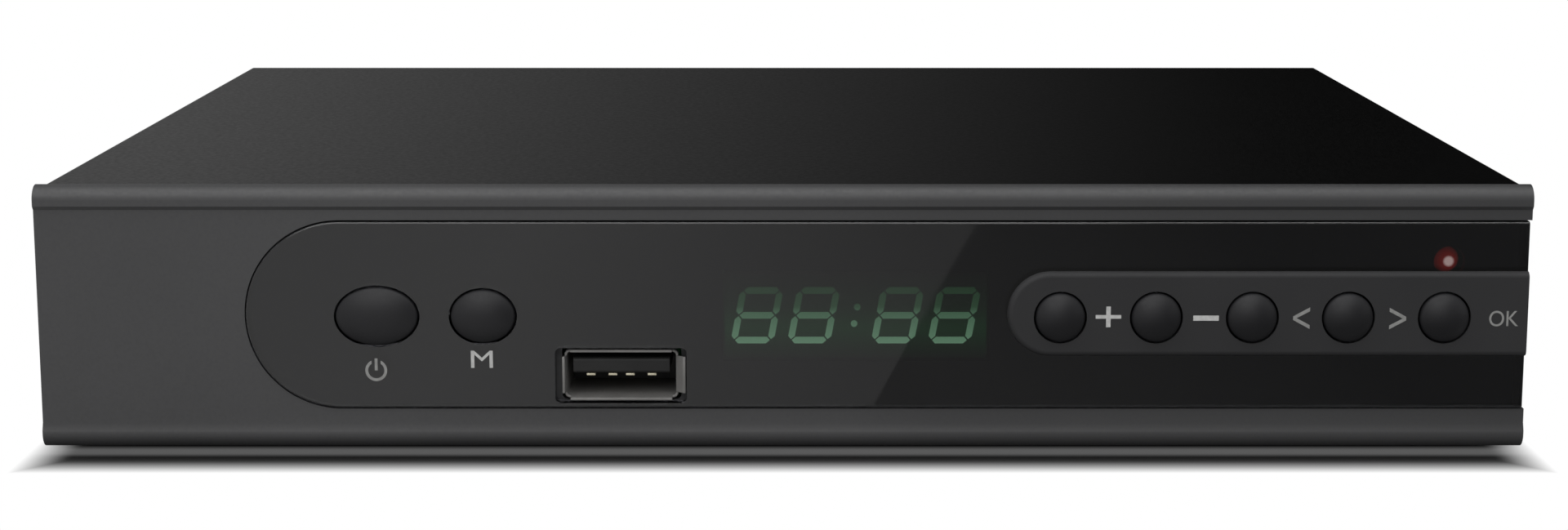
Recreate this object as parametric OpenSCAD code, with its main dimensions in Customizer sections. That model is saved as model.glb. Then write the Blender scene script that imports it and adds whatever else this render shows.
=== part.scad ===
// Digital TV receiver: a low set-top box with a push-button front.
// The front faces -Y, +Z is up, and the feet stand on Z = 0.

/* [Case] */
// Width of the front panel
case_w = 170; // [164:1:190]
// Height of the front panel
case_h = 30.5; // [28:0.5:36]
// Depth from the front lips to the outside of the rear flange
case_depth = 120; // [100:1:140]
// Thickness of the sheet metal
sheet_t = 0.8; // [0.5:0.1:1.2]
// Gap between the sheet metal and what it fits against
sheet_gap = 0.15; // [0.05:0.05:0.3]
// Step in from the front panel's edge to the cover
cover_inset = 0.2; // [0.1:0.1:0.8]
// Height of the cover's rear flange
rear_flange_h = 6.5; // [5.5:0.5:8]
// Height of the chassis side flanges
side_flange_h = 9; // [6:0.5:12]
// Height of the rubber feet under the front panel's lower edge
foot_h = 2; // [1.8:0.1:5]
// Diameter of a rubber foot where it is stuck on
foot_d = 11; // [8:0.5:14]
// Taper of a foot's side
foot_taper = 0.5; // [0:0.1:1]
// Distance from the case's edges to a foot's centre
foot_inset = 20; // [12:0.5:22]

/* [Vents] */
// Width of a vent slot
slot_w = 1.6; // [1:0.1:2]
// Height of a vent slot
slot_h = 11; // [6:0.5:12]
// Distance from slot to slot
slot_pitch = 4.5; // [3.5:0.1:5]
// Number of slots in each side of the cover
slot_count = 13; // [4:1:14]
// Height of the slots' lower ends above the side flanges
slot_rise = 1.5; // [1:0.1:3]
// Length of a slot in the chassis floor
floor_slot_l = 26; // [10:1:30]

/* [Front panel] */
// How far the lips stand out from the face
lip_proud = 0.35; // [0.2:0.05:0.6]
// Depth of the lips, in front of the cover's edge
lip_depth = 1.8; // [1.7:0.05:1.8]
// Radius of the rounded top lip
top_lip_r = 1.6; // [0.8:0.1:1.8]
// Height of the top lip
top_lip_h = 2.3; // [1.9:0.1:2.6]
// Radius of the rounded bottom lip
bottom_lip_r = 1.7; // [0.8:0.1:1.8]
// Height of the bottom lip
bottom_lip_h = 2.1; // [1.9:0.1:2.6]
// Height of the slope from a lip back to the face
lip_slope = 0.6; // [0.3:0.1:1]
// Thickness of the wall behind the window
backing_t = 1; // [0.8:0.1:1.5]
// Wall of the rim that reaches back under the cover
rim_t = 1.6; // [1:0.1:2]
// Reach of the rim behind the panel's front wall
rim_reach = 9.5; // [9:0.5:14]
// Diameter of a screw boss
boss_d = 5.4; // [5:0.1:6]
// Distance from the front wall to a panel screw
boss_back = 4; // [3.5:0.1:5]
// Height of the panel screw bosses over the rim
boss_h = 5.5; // [4.5:0.5:6]

/* [Window] */
// Distance from the panel's upper and lower edges to the window
window_margin = 4.4; // [4.1:0.1:5]
// Height of the window's middle above the panel's middle
window_rise = 0.35; // [0:0.05:0.5]
// Distance from the panel's left edge to the window's round end
window_left = 23.7; // [18:0.1:26]
// Thickness of the window
lens_t = 1.8; // [1.4:0.1:2.4]
// How far the window stands out from the face
lens_proud = 0.3; // [0.1:0.05:0.5]
// Gap around the window
lens_gap = 0.3; // [0.15:0.05:0.5]
// Bevel on the window's edge
lens_bevel = 0.35; // [0.1:0.05:0.6]
// Step in from the panel's right edge to the window's square end
lens_end_inset = 0.3; // [0.1:0.1:1]

/* [Key strip] */
// Height of the strip
strip_h = 9.8; // [9:0.1:11]
// Height of the strip's middle above the window's middle
strip_rise = 0.25; // [0:0.05:0.5]
// Distance from the strip's round end to the first key
strip_lead = 6; // [5:0.1:7]
// Thickness of the strip
strip_t = 0.7; // [0.4:0.1:1]
// Bevel on the strip's edge
strip_bevel = 0.55; // [0.1:0.05:0.6]

/* [Buttons] */
// Place of the power button, right of the middle, as a share of the case width
power_x = -0.2724; // [-0.29:0.0001:-0.26]
// Width of the power button
power_w = 9.3; // [7:0.1:10]
// Height of the power button
power_h = 6.7; // [6:0.1:7.4]
// Place of the menu button, right of the middle, as a share of the case width
menu_x = -0.2012; // [-0.206:0.0001:-0.194]
// Width of the menu button
menu_w = 7.3; // [6.7:0.1:8]
// Height of the menu button
menu_h = 6.1; // [6:0.1:6.6]
// Place of the first key, right of the middle, as a share of the case width
key_x = 0.1856; // [0.182:0.0001:0.194]
// Distance from key to key, as a share of the case width
key_pitch = 0.0642; // [0.0618:0.0001:0.0665]
// Diameter of a key
key_d = 5.6; // [5:0.1:7]
// Depth of the buttons' middle under the window's middle
button_drop = 0.1; // [0:0.05:0.3]
// How far a button stands out of the surface round it
button_proud = 1.25; // [1.1:0.05:2]
// Radius of a button's domed front
dome_r = 9; // [7:0.5:20]
// Gap round a button
button_gap = 0.35; // [0.3:0.05:0.5]
// Travel of a button
travel = 0.8; // [0.3:0.1:1]
// Width of the flange that keeps a button in
flange_rim = 0.8; // [0.6:0.1:1]
// Thickness of that flange
flange_t = 0.8; // [0.6:0.1:1.2]
// Gap between the flange and the wall at rest
rest_gap = 0.05; // [0.02:0.01:0.2]
// Diameter of a button's stem
stem_d = 3; // [2:0.1:4]
// Length of a button's stem
stem_l = 1; // [0.8:0.1:2]

/* [Switches] */
// Side of a switch housing
switch_w = 6; // [5.5:0.1:6.5]
// Depth of a switch housing
switch_t = 3.5; // [3.3:0.1:4.5]
// Diameter of a switch plunger
plunger_d = 3.2; // [2.5:0.1:3.8]
// Gap round a plunger
plunger_gap = 0.3; // [0.25:0.05:0.5]
// How far a plunger stands out of its housing
plunger_out = 1.4; // [1.2:0.1:2]
// How far a plunger reaches into its housing
plunger_in = 1; // [0.6:0.1:1.2]
// Room behind a plunger that is pressed in fully
plunger_room = 0.3; // [0.2:0.1:0.4]

/* [Display] */
// Place of the display's middle, right of the middle, as a share of the case width
display_x = 0.049; // [0.041:0.001:0.053]
// Width of the display module
display_w = 30; // [29:0.5:32]
// Height of the display module
display_h = 10; // [9:0.5:11]
// Depth of the display's middle under the window's middle
display_drop = 0.3; // [0:0.05:0.6]
// Gap between the window and the display's face
display_gap = 0.4; // [0.3:0.05:0.8]
// Gap round the display module in the panel
display_clear = 0.3; // [0.2:0.05:0.6]
// Width of a digit, between the middles of its segments
digit_w = 4.2; // [3.5:0.1:4.5]
// Height of a digit, between the middles of its segments
digit_h = 5.8; // [5:0.1:6.4]
// Distance between the two digits of a pair
digit_pitch = 6.5; // [6:0.1:6.8]
// Distance between the two inner digits
pair_pitch = 9.6; // [9:0.1:10]
// Width of a segment
segment_w = 0.75; // [0.5:0.05:1]
// Gap between segments at a corner
segment_gap = 0.12; // [0.08:0.02:0.2]
// Thickness of a segment
segment_t = 0.15; // [0.1:0.05:0.2]
// Lean of the digits in degrees
digit_lean = 10.5; // [0:0.5:12]

/* [Light and receiver] */
// Height of the status light above the keys
led_rise = 6; // [6:0.1:6.8]
// Distance of the light, right of the last key's middle
led_side = 0.8; // [0:0.1:1.2]
// Diameter of the status light
led_d = 3; // [2.5:0.1:3.2]
// Length of the status light's body
led_l = 5; // [4:0.1:5.5]
// Gap round the status light and the receiver
led_gap = 0.25; // [0.15:0.05:0.4]
// Diameter of a lead
lead_d = 0.6; // [0.4:0.1:0.8]
// Distance from lead to lead
lead_pitch = 1.6; // [1.3:0.1:1.8]
// Place of the remote receiver, right of the middle, as a share of the case width
receiver_x = -0.07; // [-0.08:0.001:-0.065]
// Distance from the window's upper edge down to the remote receiver
receiver_drop = 0.6; // [0.5:0.1:1]
// Width of the remote receiver
receiver_w = 5.6; // [5:0.1:6]
// Height of the remote receiver
receiver_h = 4; // [3.5:0.1:4.2]
// Depth of the remote receiver
receiver_t = 3.4; // [3:0.1:4]

/* [Data socket] */
// Place of the data socket, right of the middle, as a share of the case width
socket_x = -0.109; // [-0.118:0.001:-0.106]
// Width of the socket's opening
socket_w = 12.5; // [12:0.1:13]
// Height of the socket's opening
socket_h = 5.12; // [5:0.01:5.4]
// Wall of the socket's shell
socket_wall = 0.3; // [0.2:0.05:0.5]
// Length of the socket's shell
socket_l = 14; // [13:0.5:18]
// Depth of the socket's opening
socket_depth = 9; // [8.5:0.1:10]
// Distance from the window's front back to the socket's mouth
socket_set = 0.3; // [0.1:0.1:0.8]
// Gap round the socket in the panel and window
socket_gap = 0.6; // [0.4:0.05:0.9]
// Width of the socket's tongue
tongue_w = 11.1; // [10.5:0.1:11.5]
// Thickness of the socket's tongue
tongue_t = 1.84; // [1.7:0.02:2]
// Gap above the socket's tongue
tongue_top = 0.7; // [0.5:0.1:0.9]
// Distance from the socket's mouth back to the tongue
tongue_set = 0.9; // [0.5:0.1:1.5]
// Width of a contact
contact_w = 1; // [0.8:0.1:1.2]
// Thickness of a contact
contact_t = 0.3; // [0.2:0.05:0.4]
// Distance from the middle to an inner contact
contact_inner = 1; // [0.9:0.1:1.2]
// Distance from the middle to an outer contact
contact_outer = 3.5; // [3.2:0.1:3.8]

/* [Boards] */
// Thickness of the front board
front_board_t = 1.2; // [0.8:0.1:1.6]
// Gap between the front board and the panel's rim
front_board_gap = 1.2; // [0.8:0.1:1.5]
// Height of the front board's lower edge over the main board
front_board_lift = 3.2; // [3:0.1:4]
// Gap round the data socket in the front board
notch_gap = 0.6; // [0.4:0.1:1]
// Place of the left post, right of the middle, as a share of the case width
post_x = -0.412; // [-0.424:0.001:-0.388]
// Distance from the front board's upper edge down to the right post
post_drop = 3; // [2.8:0.1:3.4]
// Thickness of the main board
board_t = 1.6; // [1.2:0.1:2]
// Height of the standoffs
standoff_h = 3.1; // [2.6:0.1:4]
// Diameter of a standoff
standoff_d = 5.5; // [5:0.1:7]
// Gap between the main board's sides and the chassis
board_side_gap = 9.5; // [9:0.5:14]
// Gap between the main board and the rear wall
board_rear_gap = 1.2; // [0.8:0.1:1.6]
// Reach of the main board in front of the front board
board_lead = 1.5; // [1:0.1:2]
// Distance from the main board's edges to a board screw
board_screw_inset = 4; // [3.5:0.1:5]
// Distance from the main board's front to the first board screws
board_screw_front = 14; // [12:0.5:20]
// Distance from the main board's rear to the second board screws
board_screw_rear = 27; // [26:0.5:32]
// Length of the connector between the boards
connector_l = 20; // [16:0.5:24]
// Depth of the connector between the boards
connector_t = 5; // [4:0.1:6]
// Height of the connector between the boards
connector_h = 8; // [6:0.1:9]
// Place of the connector's middle, right of the middle, as a share of the case width
connector_x = 0.26; // [0.224:0.001:0.282]

/* [Main board parts] */
// Place of the processor, right of the middle, as a share of the case width
processor_x = 0.024; // [0:0.001:0.047]
// Side of the processor
processor_w = 15; // [12:0.5:17]
// Thickness of the processor
processor_t = 1.5; // [1:0.1:2]
// Side of the heat sink
heatsink_w = 24; // [20:1:26]
// Thickness of the heat sink's base
heatsink_base = 2; // [1.5:0.1:3]
// Height of the heat sink's fins
fin_h = 6; // [3:0.5:8]
// Thickness of a fin
fin_t = 1; // [0.8:0.1:1.4]
// Number of fins
fin_count = 7; // [5:1:8]
// Length of a memory chip
memory_l = 9; // [8:0.5:10]
// Width of a memory chip
memory_w = 6; // [5:0.5:7]
// Thickness of a memory chip
memory_t = 1.2; // [1:0.1:1.5]
// Gap between the heat sink and the small parts beside it
part_gap = 6; // [5:0.5:7]
// Width of the crystal
crystal_w = 4.6; // [4:0.1:5]
// Length of the crystal
crystal_l = 11; // [10:0.5:12]
// Height of the crystal
crystal_h = 3.5; // [3:0.1:4]
// Diameter of a capacitor
cap_d = 8; // [6:0.5:9]
// Height of a capacitor
cap_h = 11.5; // [8:0.5:14]
// Distance from capacitor to capacitor
cap_pitch = 11; // [10:0.5:12]
// Number of capacitors
cap_count = 4; // [2:1:4]
// Side of a power coil
coil_w = 8; // [7:0.5:9]
// Height of a power coil
coil_h = 4; // [3:0.5:5]

/* [Aerial sockets] */
// Place of the aerial input, right of the middle, as a share of the case width
aerial_in_x = 0.365; // [0.359:0.001:0.371]
// Distance between the two aerial sockets
aerial_pitch = 19; // [18:0.5:20]
// Height of the aerial sockets above the main board
aerial_rise = 7.5; // [7:0.1:8]
// How far the aerial sockets stand out of the case
aerial_reach = 9; // [8:0.5:12]
// Outer diameter of the input's shell
aerial_in_d = 11.2; // [11:0.1:12]
// Bore of the input's shell
aerial_bore_d = 9.6; // [9.4:0.1:9.8]
// Outer diameter of the loop output's shell
aerial_out_d = 9.5; // [9.3:0.1:9.8]
// Bore of the loop output's shell
aerial_out_bore_d = 8.3; // [8:0.1:8.6]
// Outer diameter of the input's middle contact
aerial_contact_d = 4.4; // [4:0.1:4.8]
// Diameter of the loop output's pin
aerial_pin_d = 2.4; // [2.2:0.1:2.6]
// Distance from a socket's mouth back to its middle contact
aerial_contact_set = 1; // [0.5:0.1:2]
// Width of the tuner's metal can
can_w = 38; // [36:1:40]
// Depth of the tuner's metal can
can_l = 22; // [18:0.5:23]
// Height of the tuner's metal can
can_h = 14; // [13.5:0.5:16]
// Gap between the can and the rear wall
can_gap = 0.3; // [0.2:0.1:0.5]
// Gap round a socket in the rear wall
port_gap = 0.4; // [0.2:0.05:0.6]
// How much thinner a plug's seat is inside the case than outside it
root_step = 0.25; // [0.2:0.05:0.3]

/* [Video socket] */
// Place of the video socket, right of the middle, as a share of the case width
video_x = 0.094; // [0.059:0.001:0.106]
// Width of the video socket's opening
video_w = 14; // [13.5:0.1:14.5]
// Height of the video socket's opening
video_h = 4.55; // [4.4:0.05:5]
// Wall of the video socket's shell
video_wall = 0.5; // [0.3:0.05:0.6]
// Size of the cut lower corners
video_cut = 1.6; // [1:0.1:1.8]
// Length of the video socket
video_l = 12; // [11:0.5:14]
// Depth of the video socket's opening
video_depth = 8; // [6:0.5:9]
// Width of the video socket's tongue
video_tongue_w = 10.8; // [10:0.1:11]
// Thickness of the video socket's tongue
video_tongue_t = 1; // [0.8:0.1:1.2]
// How far the video socket stands out of the case
video_reach = 0.4; // [0:0.1:1]

/* [Jacks] */
// Place of the middle jack, right of the middle, as a share of the case width
jack_x = -0.14; // [-0.153:0.001:-0.13]
// Distance from jack to jack
jack_pitch = 14; // [13.5:0.5:15]
// Height of the jacks above the main board
jack_rise = 7; // [6.6:0.1:8]
// Outer diameter of a jack's sleeve
sleeve_d = 8.3; // [8:0.1:8.6]
// Wall of a jack's sleeve
sleeve_wall = 0.6; // [0.4:0.1:0.8]
// How far a jack's sleeve stands out of the case
jack_reach = 8.5; // [7:0.5:9]
// Diameter of the coloured collar round a sleeve
collar_d = 11.6; // [11:0.1:12]
// How far a collar stands out of the case
collar_reach = 1.4; // [1:0.1:2.5]
// Gap between a sleeve and what is round it or in it
sleeve_gap = 0.1; // [0.05:0.05:0.2]
// Hole for a plug's pin
pin_hole_d = 3.4; // [3.2:0.1:3.8]
// Distance from a sleeve's mouth back to its insert
insert_set = 0.7; // [0.4:0.1:1.5]
// Depth of the jack block
jack_block_l = 11; // [9:0.5:13]
// Height of the jack block
jack_block_h = 13.5; // [13:0.5:16]

/* [Power inlet] */
// Place of the power inlet, right of the middle, as a share of the case width
inlet_x = -0.37; // [-0.388:0.001:-0.353]
// Height of the power inlet above the main board
inlet_rise = 6.5; // [6:0.1:7]
// Side of the inlet's body
inlet_w = 9; // [8.6:0.1:9.5]
// Length of the inlet's body
inlet_l = 13; // [12:0.5:15]
// Height of the inlet's body
inlet_h = 11; // [10.6:0.1:12]
// Diameter of the inlet's round nose
inlet_nose_d = 8; // [7.6:0.1:8.4]
// Bore for the plug
inlet_bore_d = 5.8; // [5.6:0.1:6.4]
// Depth of the bore
inlet_depth = 9.5; // [9:0.1:10]
// Diameter of the inlet's pin
inlet_pin_d = 2; // [1.6:0.1:2.5]
// How far the inlet stands out of the case
inlet_reach = 0.4; // [0:0.1:1]

/* [Screws] */
// Diameter of a screw's shank
screw_d = 2.6; // [2:0.1:2.8]
// Diameter of a screw's head
screw_head_d = 5; // [4.4:0.1:5.4]
// Height of a screw's head
screw_head_h = 1.6; // [1.2:0.1:1.7]
// Gap round a shank in a clearance hole
screw_clear = 0.25; // [0.15:0.05:0.4]
// Gap round a shank in the hole that it is driven into
screw_fit = 0.05; // [0.03:0.01:0.1]
// Length of a case screw's shank
screw_l = 6; // [5:0.5:7]
// Width of the cross in a screw's head
cross_w = 0.7; // [0.5:0.1:0.9]
// Depth of the cross in a screw's head
cross_t = 0.8; // [0.5:0.1:1]
// Distance from the case's sides to the outer cover screws
cover_screw_inset = 24; // [14:1:40]

/* [Hidden] */
$fn = 64;

// Cuts run this far past the faces that they open
cut = 1;
key_count = 5;
jack_count = 3;

// Place of a share of the case width, right of the middle
function across(share) = share * case_w;

// Depths from the front: the lips are the reference, and the whole part is centred on Y = 0
lens_set = lip_proud - lens_proud;
front_reach = button_proud + strip_t - lens_set;
rear_reach = max(aerial_reach, jack_reach, video_reach, inlet_reach, screw_head_h);
lip_y = (front_reach - case_depth - rear_reach) / 2;
rear_y = lip_y + case_depth;
face_y = lip_y + lip_proud;
lens_y = lip_y + lens_set;
lens_back = lens_y + lens_t;
strip_y = lens_y - strip_t;
wall_back = lens_back + backing_t;
plate_t = wall_back - lip_y;
step_y = lip_y + lip_depth;
rim_end = wall_back + rim_reach;
flange_y = wall_back + rest_gap;
stem_y = flange_y + flange_t;
plunger_y = stem_y + stem_l;
switch_y = plunger_y + plunger_out;
front_board_y = switch_y + switch_t;
front_board_back = front_board_y + front_board_t;
sheet_front = step_y + sheet_gap;
wall_out = rear_y - sheet_t - sheet_gap;
wall_in = wall_out - sheet_t;

// Heights: the front panel stands on foot_h
panel_z = foot_h;
mid_z = panel_z + case_h / 2 + window_rise;
button_z = mid_z - button_drop;
strip_z = mid_z + strip_rise;
floor_z = panel_z + cover_inset;
floor_top = floor_z + sheet_t;
cover_top = panel_z + case_h - cover_inset;
ceiling_z = cover_top - sheet_t;
wall_top = ceiling_z - sheet_gap;
board_z = floor_top + standoff_h;
board_top = board_z + board_t;
rim_bottom = floor_top + sheet_gap;
rim_top = wall_top;

// Half widths
cover_half = case_w / 2 - cover_inset;
floor_half = cover_half - sheet_t - sheet_gap;
rim_half = floor_half;
board_half = floor_half - board_side_gap;

// Main board
board_front = front_board_y - board_lead;
board_rear = wall_in - board_rear_gap;
board_screw_x = board_half - board_screw_inset;
board_screw_y = [board_front + board_screw_front, board_rear - board_screw_rear];
board_screw_l = board_t + standoff_h - screw_fit;

// Front board
front_board_half = rim_half - rim_t - front_board_gap;
front_board_z = board_top + front_board_lift;
front_board_top = rim_top - rim_t - front_board_gap;
front_screw_l = front_board_t + switch_t;
connector_mid = across(connector_x);
posts = [[across(post_x), mid_z], [across(key_x + 2.5 * key_pitch), front_board_top - post_drop]];

// Window and strip
window_h = case_h - 2 * window_margin;
lens_left = window_left - case_w / 2;
lens_right = case_w / 2 - lens_end_inset;
strip_left = across(key_x) - strip_lead;

// Buttons, from left to right: power, menu, then the keys
key_places = [for (i = [0 : key_count - 1]) across(key_x + i * key_pitch)];
button_x = concat([across(power_x), across(menu_x)], key_places);
button_w = concat([power_w, menu_w], [for (x = key_places) key_d]);
button_h = concat([power_h, menu_h], [for (x = key_places) key_d]);
button_front = concat(
    [lens_y - button_proud, lens_y - button_proud],
    [for (x = key_places) strip_y - button_proud]
);

// Light, receiver and display
display_mid = across(display_x);
display_z = mid_z - display_drop;
receiver_mid = across(receiver_x);
led_x = key_places[key_count - 1] + led_side;
led_z = mid_z + led_rise;
receiver_z = mid_z + window_h / 2 - receiver_drop - receiver_h / 2;
behind_lens = lens_back + display_gap;

// Data socket
socket_mid = across(socket_x);
socket_y = lens_y + socket_set;
socket_z = board_top + socket_wall + socket_h / 2;
socket_outer_w = socket_w + 2 * socket_wall;
socket_outer_h = socket_h + 2 * socket_wall;
tongue_y = socket_y + tongue_set;
tongue_z = socket_z + socket_h / 2 - tongue_top - tongue_t;

// Rear sockets
aerial_x = [across(aerial_in_x), across(aerial_in_x) - aerial_pitch];
aerial_z = board_top + aerial_rise;
aerial_end = rear_y + aerial_reach;
can_rear = wall_in - can_gap;
can_x = (aerial_x[0] + aerial_x[1]) / 2;
video_mid = across(video_x);
video_end = rear_y + video_reach;
video_z = board_top + video_wall + video_h / 2;
jack_mid = across(jack_x);
jack_places = [for (i = [0 : jack_count - 1]) jack_mid + (i - 1) * jack_pitch];
jack_z = board_top + jack_rise;
jack_end = rear_y + jack_reach;
jack_block_rear = wall_in - can_gap;
insert_d = sleeve_d - 2 * sleeve_wall - 2 * sleeve_gap;
inlet_mid = across(inlet_x);
inlet_end = rear_y + inlet_reach;
inlet_rear = wall_in - can_gap;
inlet_z = board_top + inlet_rise;

// Middle of the processor and the parts round it
processor_mid = across(processor_x);
processor_y = (board_front + board_rear) / 2;
beside = heatsink_w / 2 + part_gap;

// Cover screws
cover_screw_x = [cover_screw_inset - case_w / 2, 0, case_w / 2 - cover_screw_inset];
cover_screw_z = cover_top - rear_flange_h / 2;
panel_screw_x = rim_half - rim_t - boss_d / 2 - sheet_gap;
panel_screw_y = wall_back + boss_back;

// Shapes that repeat

// Extrudes an XZ outline along Y from y, back by depth
module plate_y(y, depth) {
    translate([0, y + depth, 0]) rotate([90, 0, 0]) linear_extrude(depth) children();
}

// Extrudes a YZ outline along X, between two places
module bar_x(x0, x1) {
    translate([x0, 0, 0]) rotate([90, 0, 90]) linear_extrude(x1 - x0) children();
}

// Round rod along Y
module rod_y(x, z, y, depth, d) {
    translate([x, y, z]) rotate([-90, 0, 0]) cylinder(h = depth, d = d);
}

// Tube along Y
module tube_y(x, z, y, depth, d, bore) {
    difference() {
        rod_y(x, z, y, depth, d);
        rod_y(x, z, y - cut, depth + 2 * cut, bore);
    }
}

// Tube along Y that is thinner on the outside up to its root's end
module rooted_tube(x, z, y, root_end, end, d, bore) {
    tube_y(x, z, y, root_end - y, d - 2 * root_step, bore);
    tube_y(x, z, root_end, end - root_end, d, bore);
}

// Box from a low corner to a high corner
module block(low, high) {
    translate(low) cube(high - low);
}

// Oval with straight long sides, or a circle
module oval(w, h) {
    if (w > h) {
        square([w - h, h], center = true);
        for (side = [-1, 1]) translate([side * (w - h) / 2, 0]) circle(d = h);
    } else {
        circle(d = h);
    }
}

// Outline with a round left end and a square right end
module bullet(left, right, h) {
    translate([left + h / 2, 0]) circle(d = h);
    translate([left + h / 2, -h / 2]) square([right - left - h / 2, h]);
}

// Plate of that outline from Y = 0 back, with its front edge bevelled
module bevelled_bullet(left, right, h, depth, bevel) {
    plate_y(bevel, depth - bevel) bullet(left, right, h);
    translate([left + h / 2, 0, 0]) rotate([-90, 0, 0])
        cylinder(h = bevel, d1 = h - 2 * bevel, d2 = h);
    bar_x(left + h / 2, right)
        polygon([[0, bevel - h / 2], [bevel, -h / 2], [bevel, h / 2], [0, h / 2 - bevel]]);
}

// Screw that points down from a seat at Z = 0, with a cross in its head
module screw(shank) {
    difference() {
        union() {
            cylinder(h = screw_head_h, d = screw_head_d);
            translate([0, 0, -shank]) cylinder(h = shank + screw_head_h / 2, d = screw_d);
        }
        for (turn = [0, 90]) rotate([0, 0, turn])
            translate([-screw_head_d / 3, -cross_w / 2, screw_head_h - cross_t])
                cube([screw_head_d * 2 / 3, cross_w, cross_t + cut]);
    }
}

// Clearance hole for a screw along Z
module screw_hole_z(x, y, z, depth, gap) {
    translate([x, y, z]) cylinder(h = depth, d = screw_d + 2 * gap);
}

// Holes for the buttons, for those listed
module button_holes(list, y, depth) {
    for (i = list) translate([button_x[i], 0, button_z]) plate_y(y, depth)
        oval(button_w[i] + 2 * button_gap, button_h[i] + 2 * button_gap);
}

// Rectangle round the data socket
module socket_outline(gap) {
    translate([socket_mid, socket_z])
        square([socket_outer_w + 2 * gap, socket_outer_h + 2 * gap], center = true);
}

// Case

// Cross-section of the front panel's outer plate, from the lips back and from the lower edge up
module panel_profile() {
    difference() {
        square([lip_depth, case_h]);
        polygon([
            [-cut, bottom_lip_h], [0, bottom_lip_h], [lip_proud, bottom_lip_h + lip_slope],
            [lip_proud, case_h - top_lip_h - lip_slope], [0, case_h - top_lip_h],
            [-cut, case_h - top_lip_h]
        ]);
        difference() {
            translate([-cut, case_h - top_lip_r]) square([cut + top_lip_r, cut + top_lip_r]);
            translate([top_lip_r, case_h - top_lip_r]) circle(r = top_lip_r);
        }
        difference() {
            translate([-cut, -cut]) square([cut + bottom_lip_r, cut + bottom_lip_r]);
            translate([bottom_lip_r, bottom_lip_r]) circle(r = bottom_lip_r);
        }
    }
}

// Inner wall behind the plate, with a rim that reaches back under the cover and over the floor
module panel_rim() {
    difference() {
        block([-rim_half, step_y, rim_bottom], [rim_half, rim_end, rim_top]);
        block([rim_t - rim_half, wall_back, rim_bottom + rim_t],
            [rim_half - rim_t, rim_end + cut, rim_top - rim_t]);
    }
}

module panel_body() {
    translate([0, lip_y, panel_z]) bar_x(-case_w / 2, case_w / 2) panel_profile();
    panel_rim();
    for (side = [-1, 1]) translate([side * panel_screw_x, panel_screw_y, rim_bottom])
        cylinder(h = rim_t + boss_h, d = boss_d);
    for (post = posts) rod_y(post[0], post[1], wall_back, front_board_y - wall_back, boss_d);
}

module front_panel() {
    color("#3a3a3c") difference() {
        panel_body();
        translate([0, 0, mid_z]) plate_y(face_y - cut, lens_back - face_y + cut)
            bullet(lens_left - lens_gap, case_w / 2 + cut, window_h + 2 * lens_gap);
        button_holes([0 : key_count + 1], lens_y, plate_t + cut);
        plate_y(lens_y, plate_t + cut) socket_outline(socket_gap);
        translate([display_mid, 0, display_z]) plate_y(lens_y, plate_t + cut)
            square([display_w + 2 * display_clear, display_h + 2 * display_clear], center = true);
        rod_y(led_x, led_z, lens_y, plate_t + cut, led_d + 2 * led_gap);
        translate([receiver_mid, 0, receiver_z]) plate_y(lens_y, plate_t + cut)
            square([receiver_w + 2 * led_gap, receiver_h + 2 * led_gap], center = true);
        for (side = [-1, 1]) screw_hole_z(side * panel_screw_x, panel_screw_y, rim_bottom - cut,
            rim_t + boss_h + 2 * cut, screw_fit);
        for (post = posts) rod_y(post[0], post[1], wall_back + cut, front_board_y - wall_back,
            screw_d + 2 * screw_fit);
    }
}

module front_lens() {
    color("#17171a") difference() {
        translate([0, lens_y, mid_z])
            bevelled_bullet(lens_left, lens_right, window_h, lens_t, lens_bevel);
        button_holes([0 : key_count + 1], lens_y - cut, lens_t + 2 * cut);
        plate_y(lens_y - cut, lens_t + 2 * cut) socket_outline(socket_gap);
    }
}

module key_strip() {
    color("#2b2b2d") difference() {
        translate([0, strip_y, strip_z])
            bevelled_bullet(strip_left, lens_right, strip_h, strip_t, strip_bevel);
        button_holes([2 : key_count + 1], strip_y - cut, strip_t + 2 * cut);
    }
}

// Row of upright vent slots through one side of the cover
module side_slots(side) {
    slot_z = floor_z + side_flange_h + slot_rise + slot_h / 2;
    slot_run = (slot_count - 1) * slot_pitch;
    middle_y = (sheet_front + rear_y) / 2;
    for (i = [0 : slot_count - 1])
        translate([side * cover_half, middle_y - slot_run / 2 + i * slot_pitch, slot_z])
            cube([4 * sheet_t, slot_w, slot_h], center = true);
}

module top_cover() {
    color("#232325") difference() {
        block([-cover_half, sheet_front, floor_z], [cover_half, rear_y, cover_top]);
        block([sheet_t - cover_half, sheet_front - cut, floor_z - cut],
            [cover_half - sheet_t, rear_y - sheet_t, ceiling_z]);
        block([sheet_t - cover_half, rear_y - sheet_t - cut, floor_z - cut],
            [cover_half - sheet_t, rear_y + cut, cover_top - rear_flange_h]);
        for (side = [-1, 1]) side_slots(side);
        for (x = cover_screw_x) rod_y(x, cover_screw_z, rear_y - sheet_t - cut, sheet_t + 2 * cut,
            screw_d + 2 * screw_clear);
    }
}

// Holes in the rear wall for the sockets and screws
module rear_ports() {
    depth = sheet_t + 2 * cut;
    y = wall_in - cut;
    rod_y(aerial_x[0], aerial_z, y, depth, aerial_in_d + 2 * port_gap);
    rod_y(aerial_x[1], aerial_z, y, depth, aerial_out_d + 2 * port_gap);
    translate([video_mid, 0, video_z]) plate_y(y, depth)
        square([video_w + 2 * (video_wall + port_gap), video_h + 2 * (video_wall + port_gap)],
            center = true);
    for (x = jack_places) rod_y(x, jack_z, y, depth, collar_d + 2 * port_gap);
    rod_y(inlet_mid, inlet_z, y, depth, inlet_nose_d + 2 * port_gap);
    for (x = cover_screw_x) rod_y(x, cover_screw_z, y, depth, screw_d + 2 * screw_fit);
}

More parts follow.
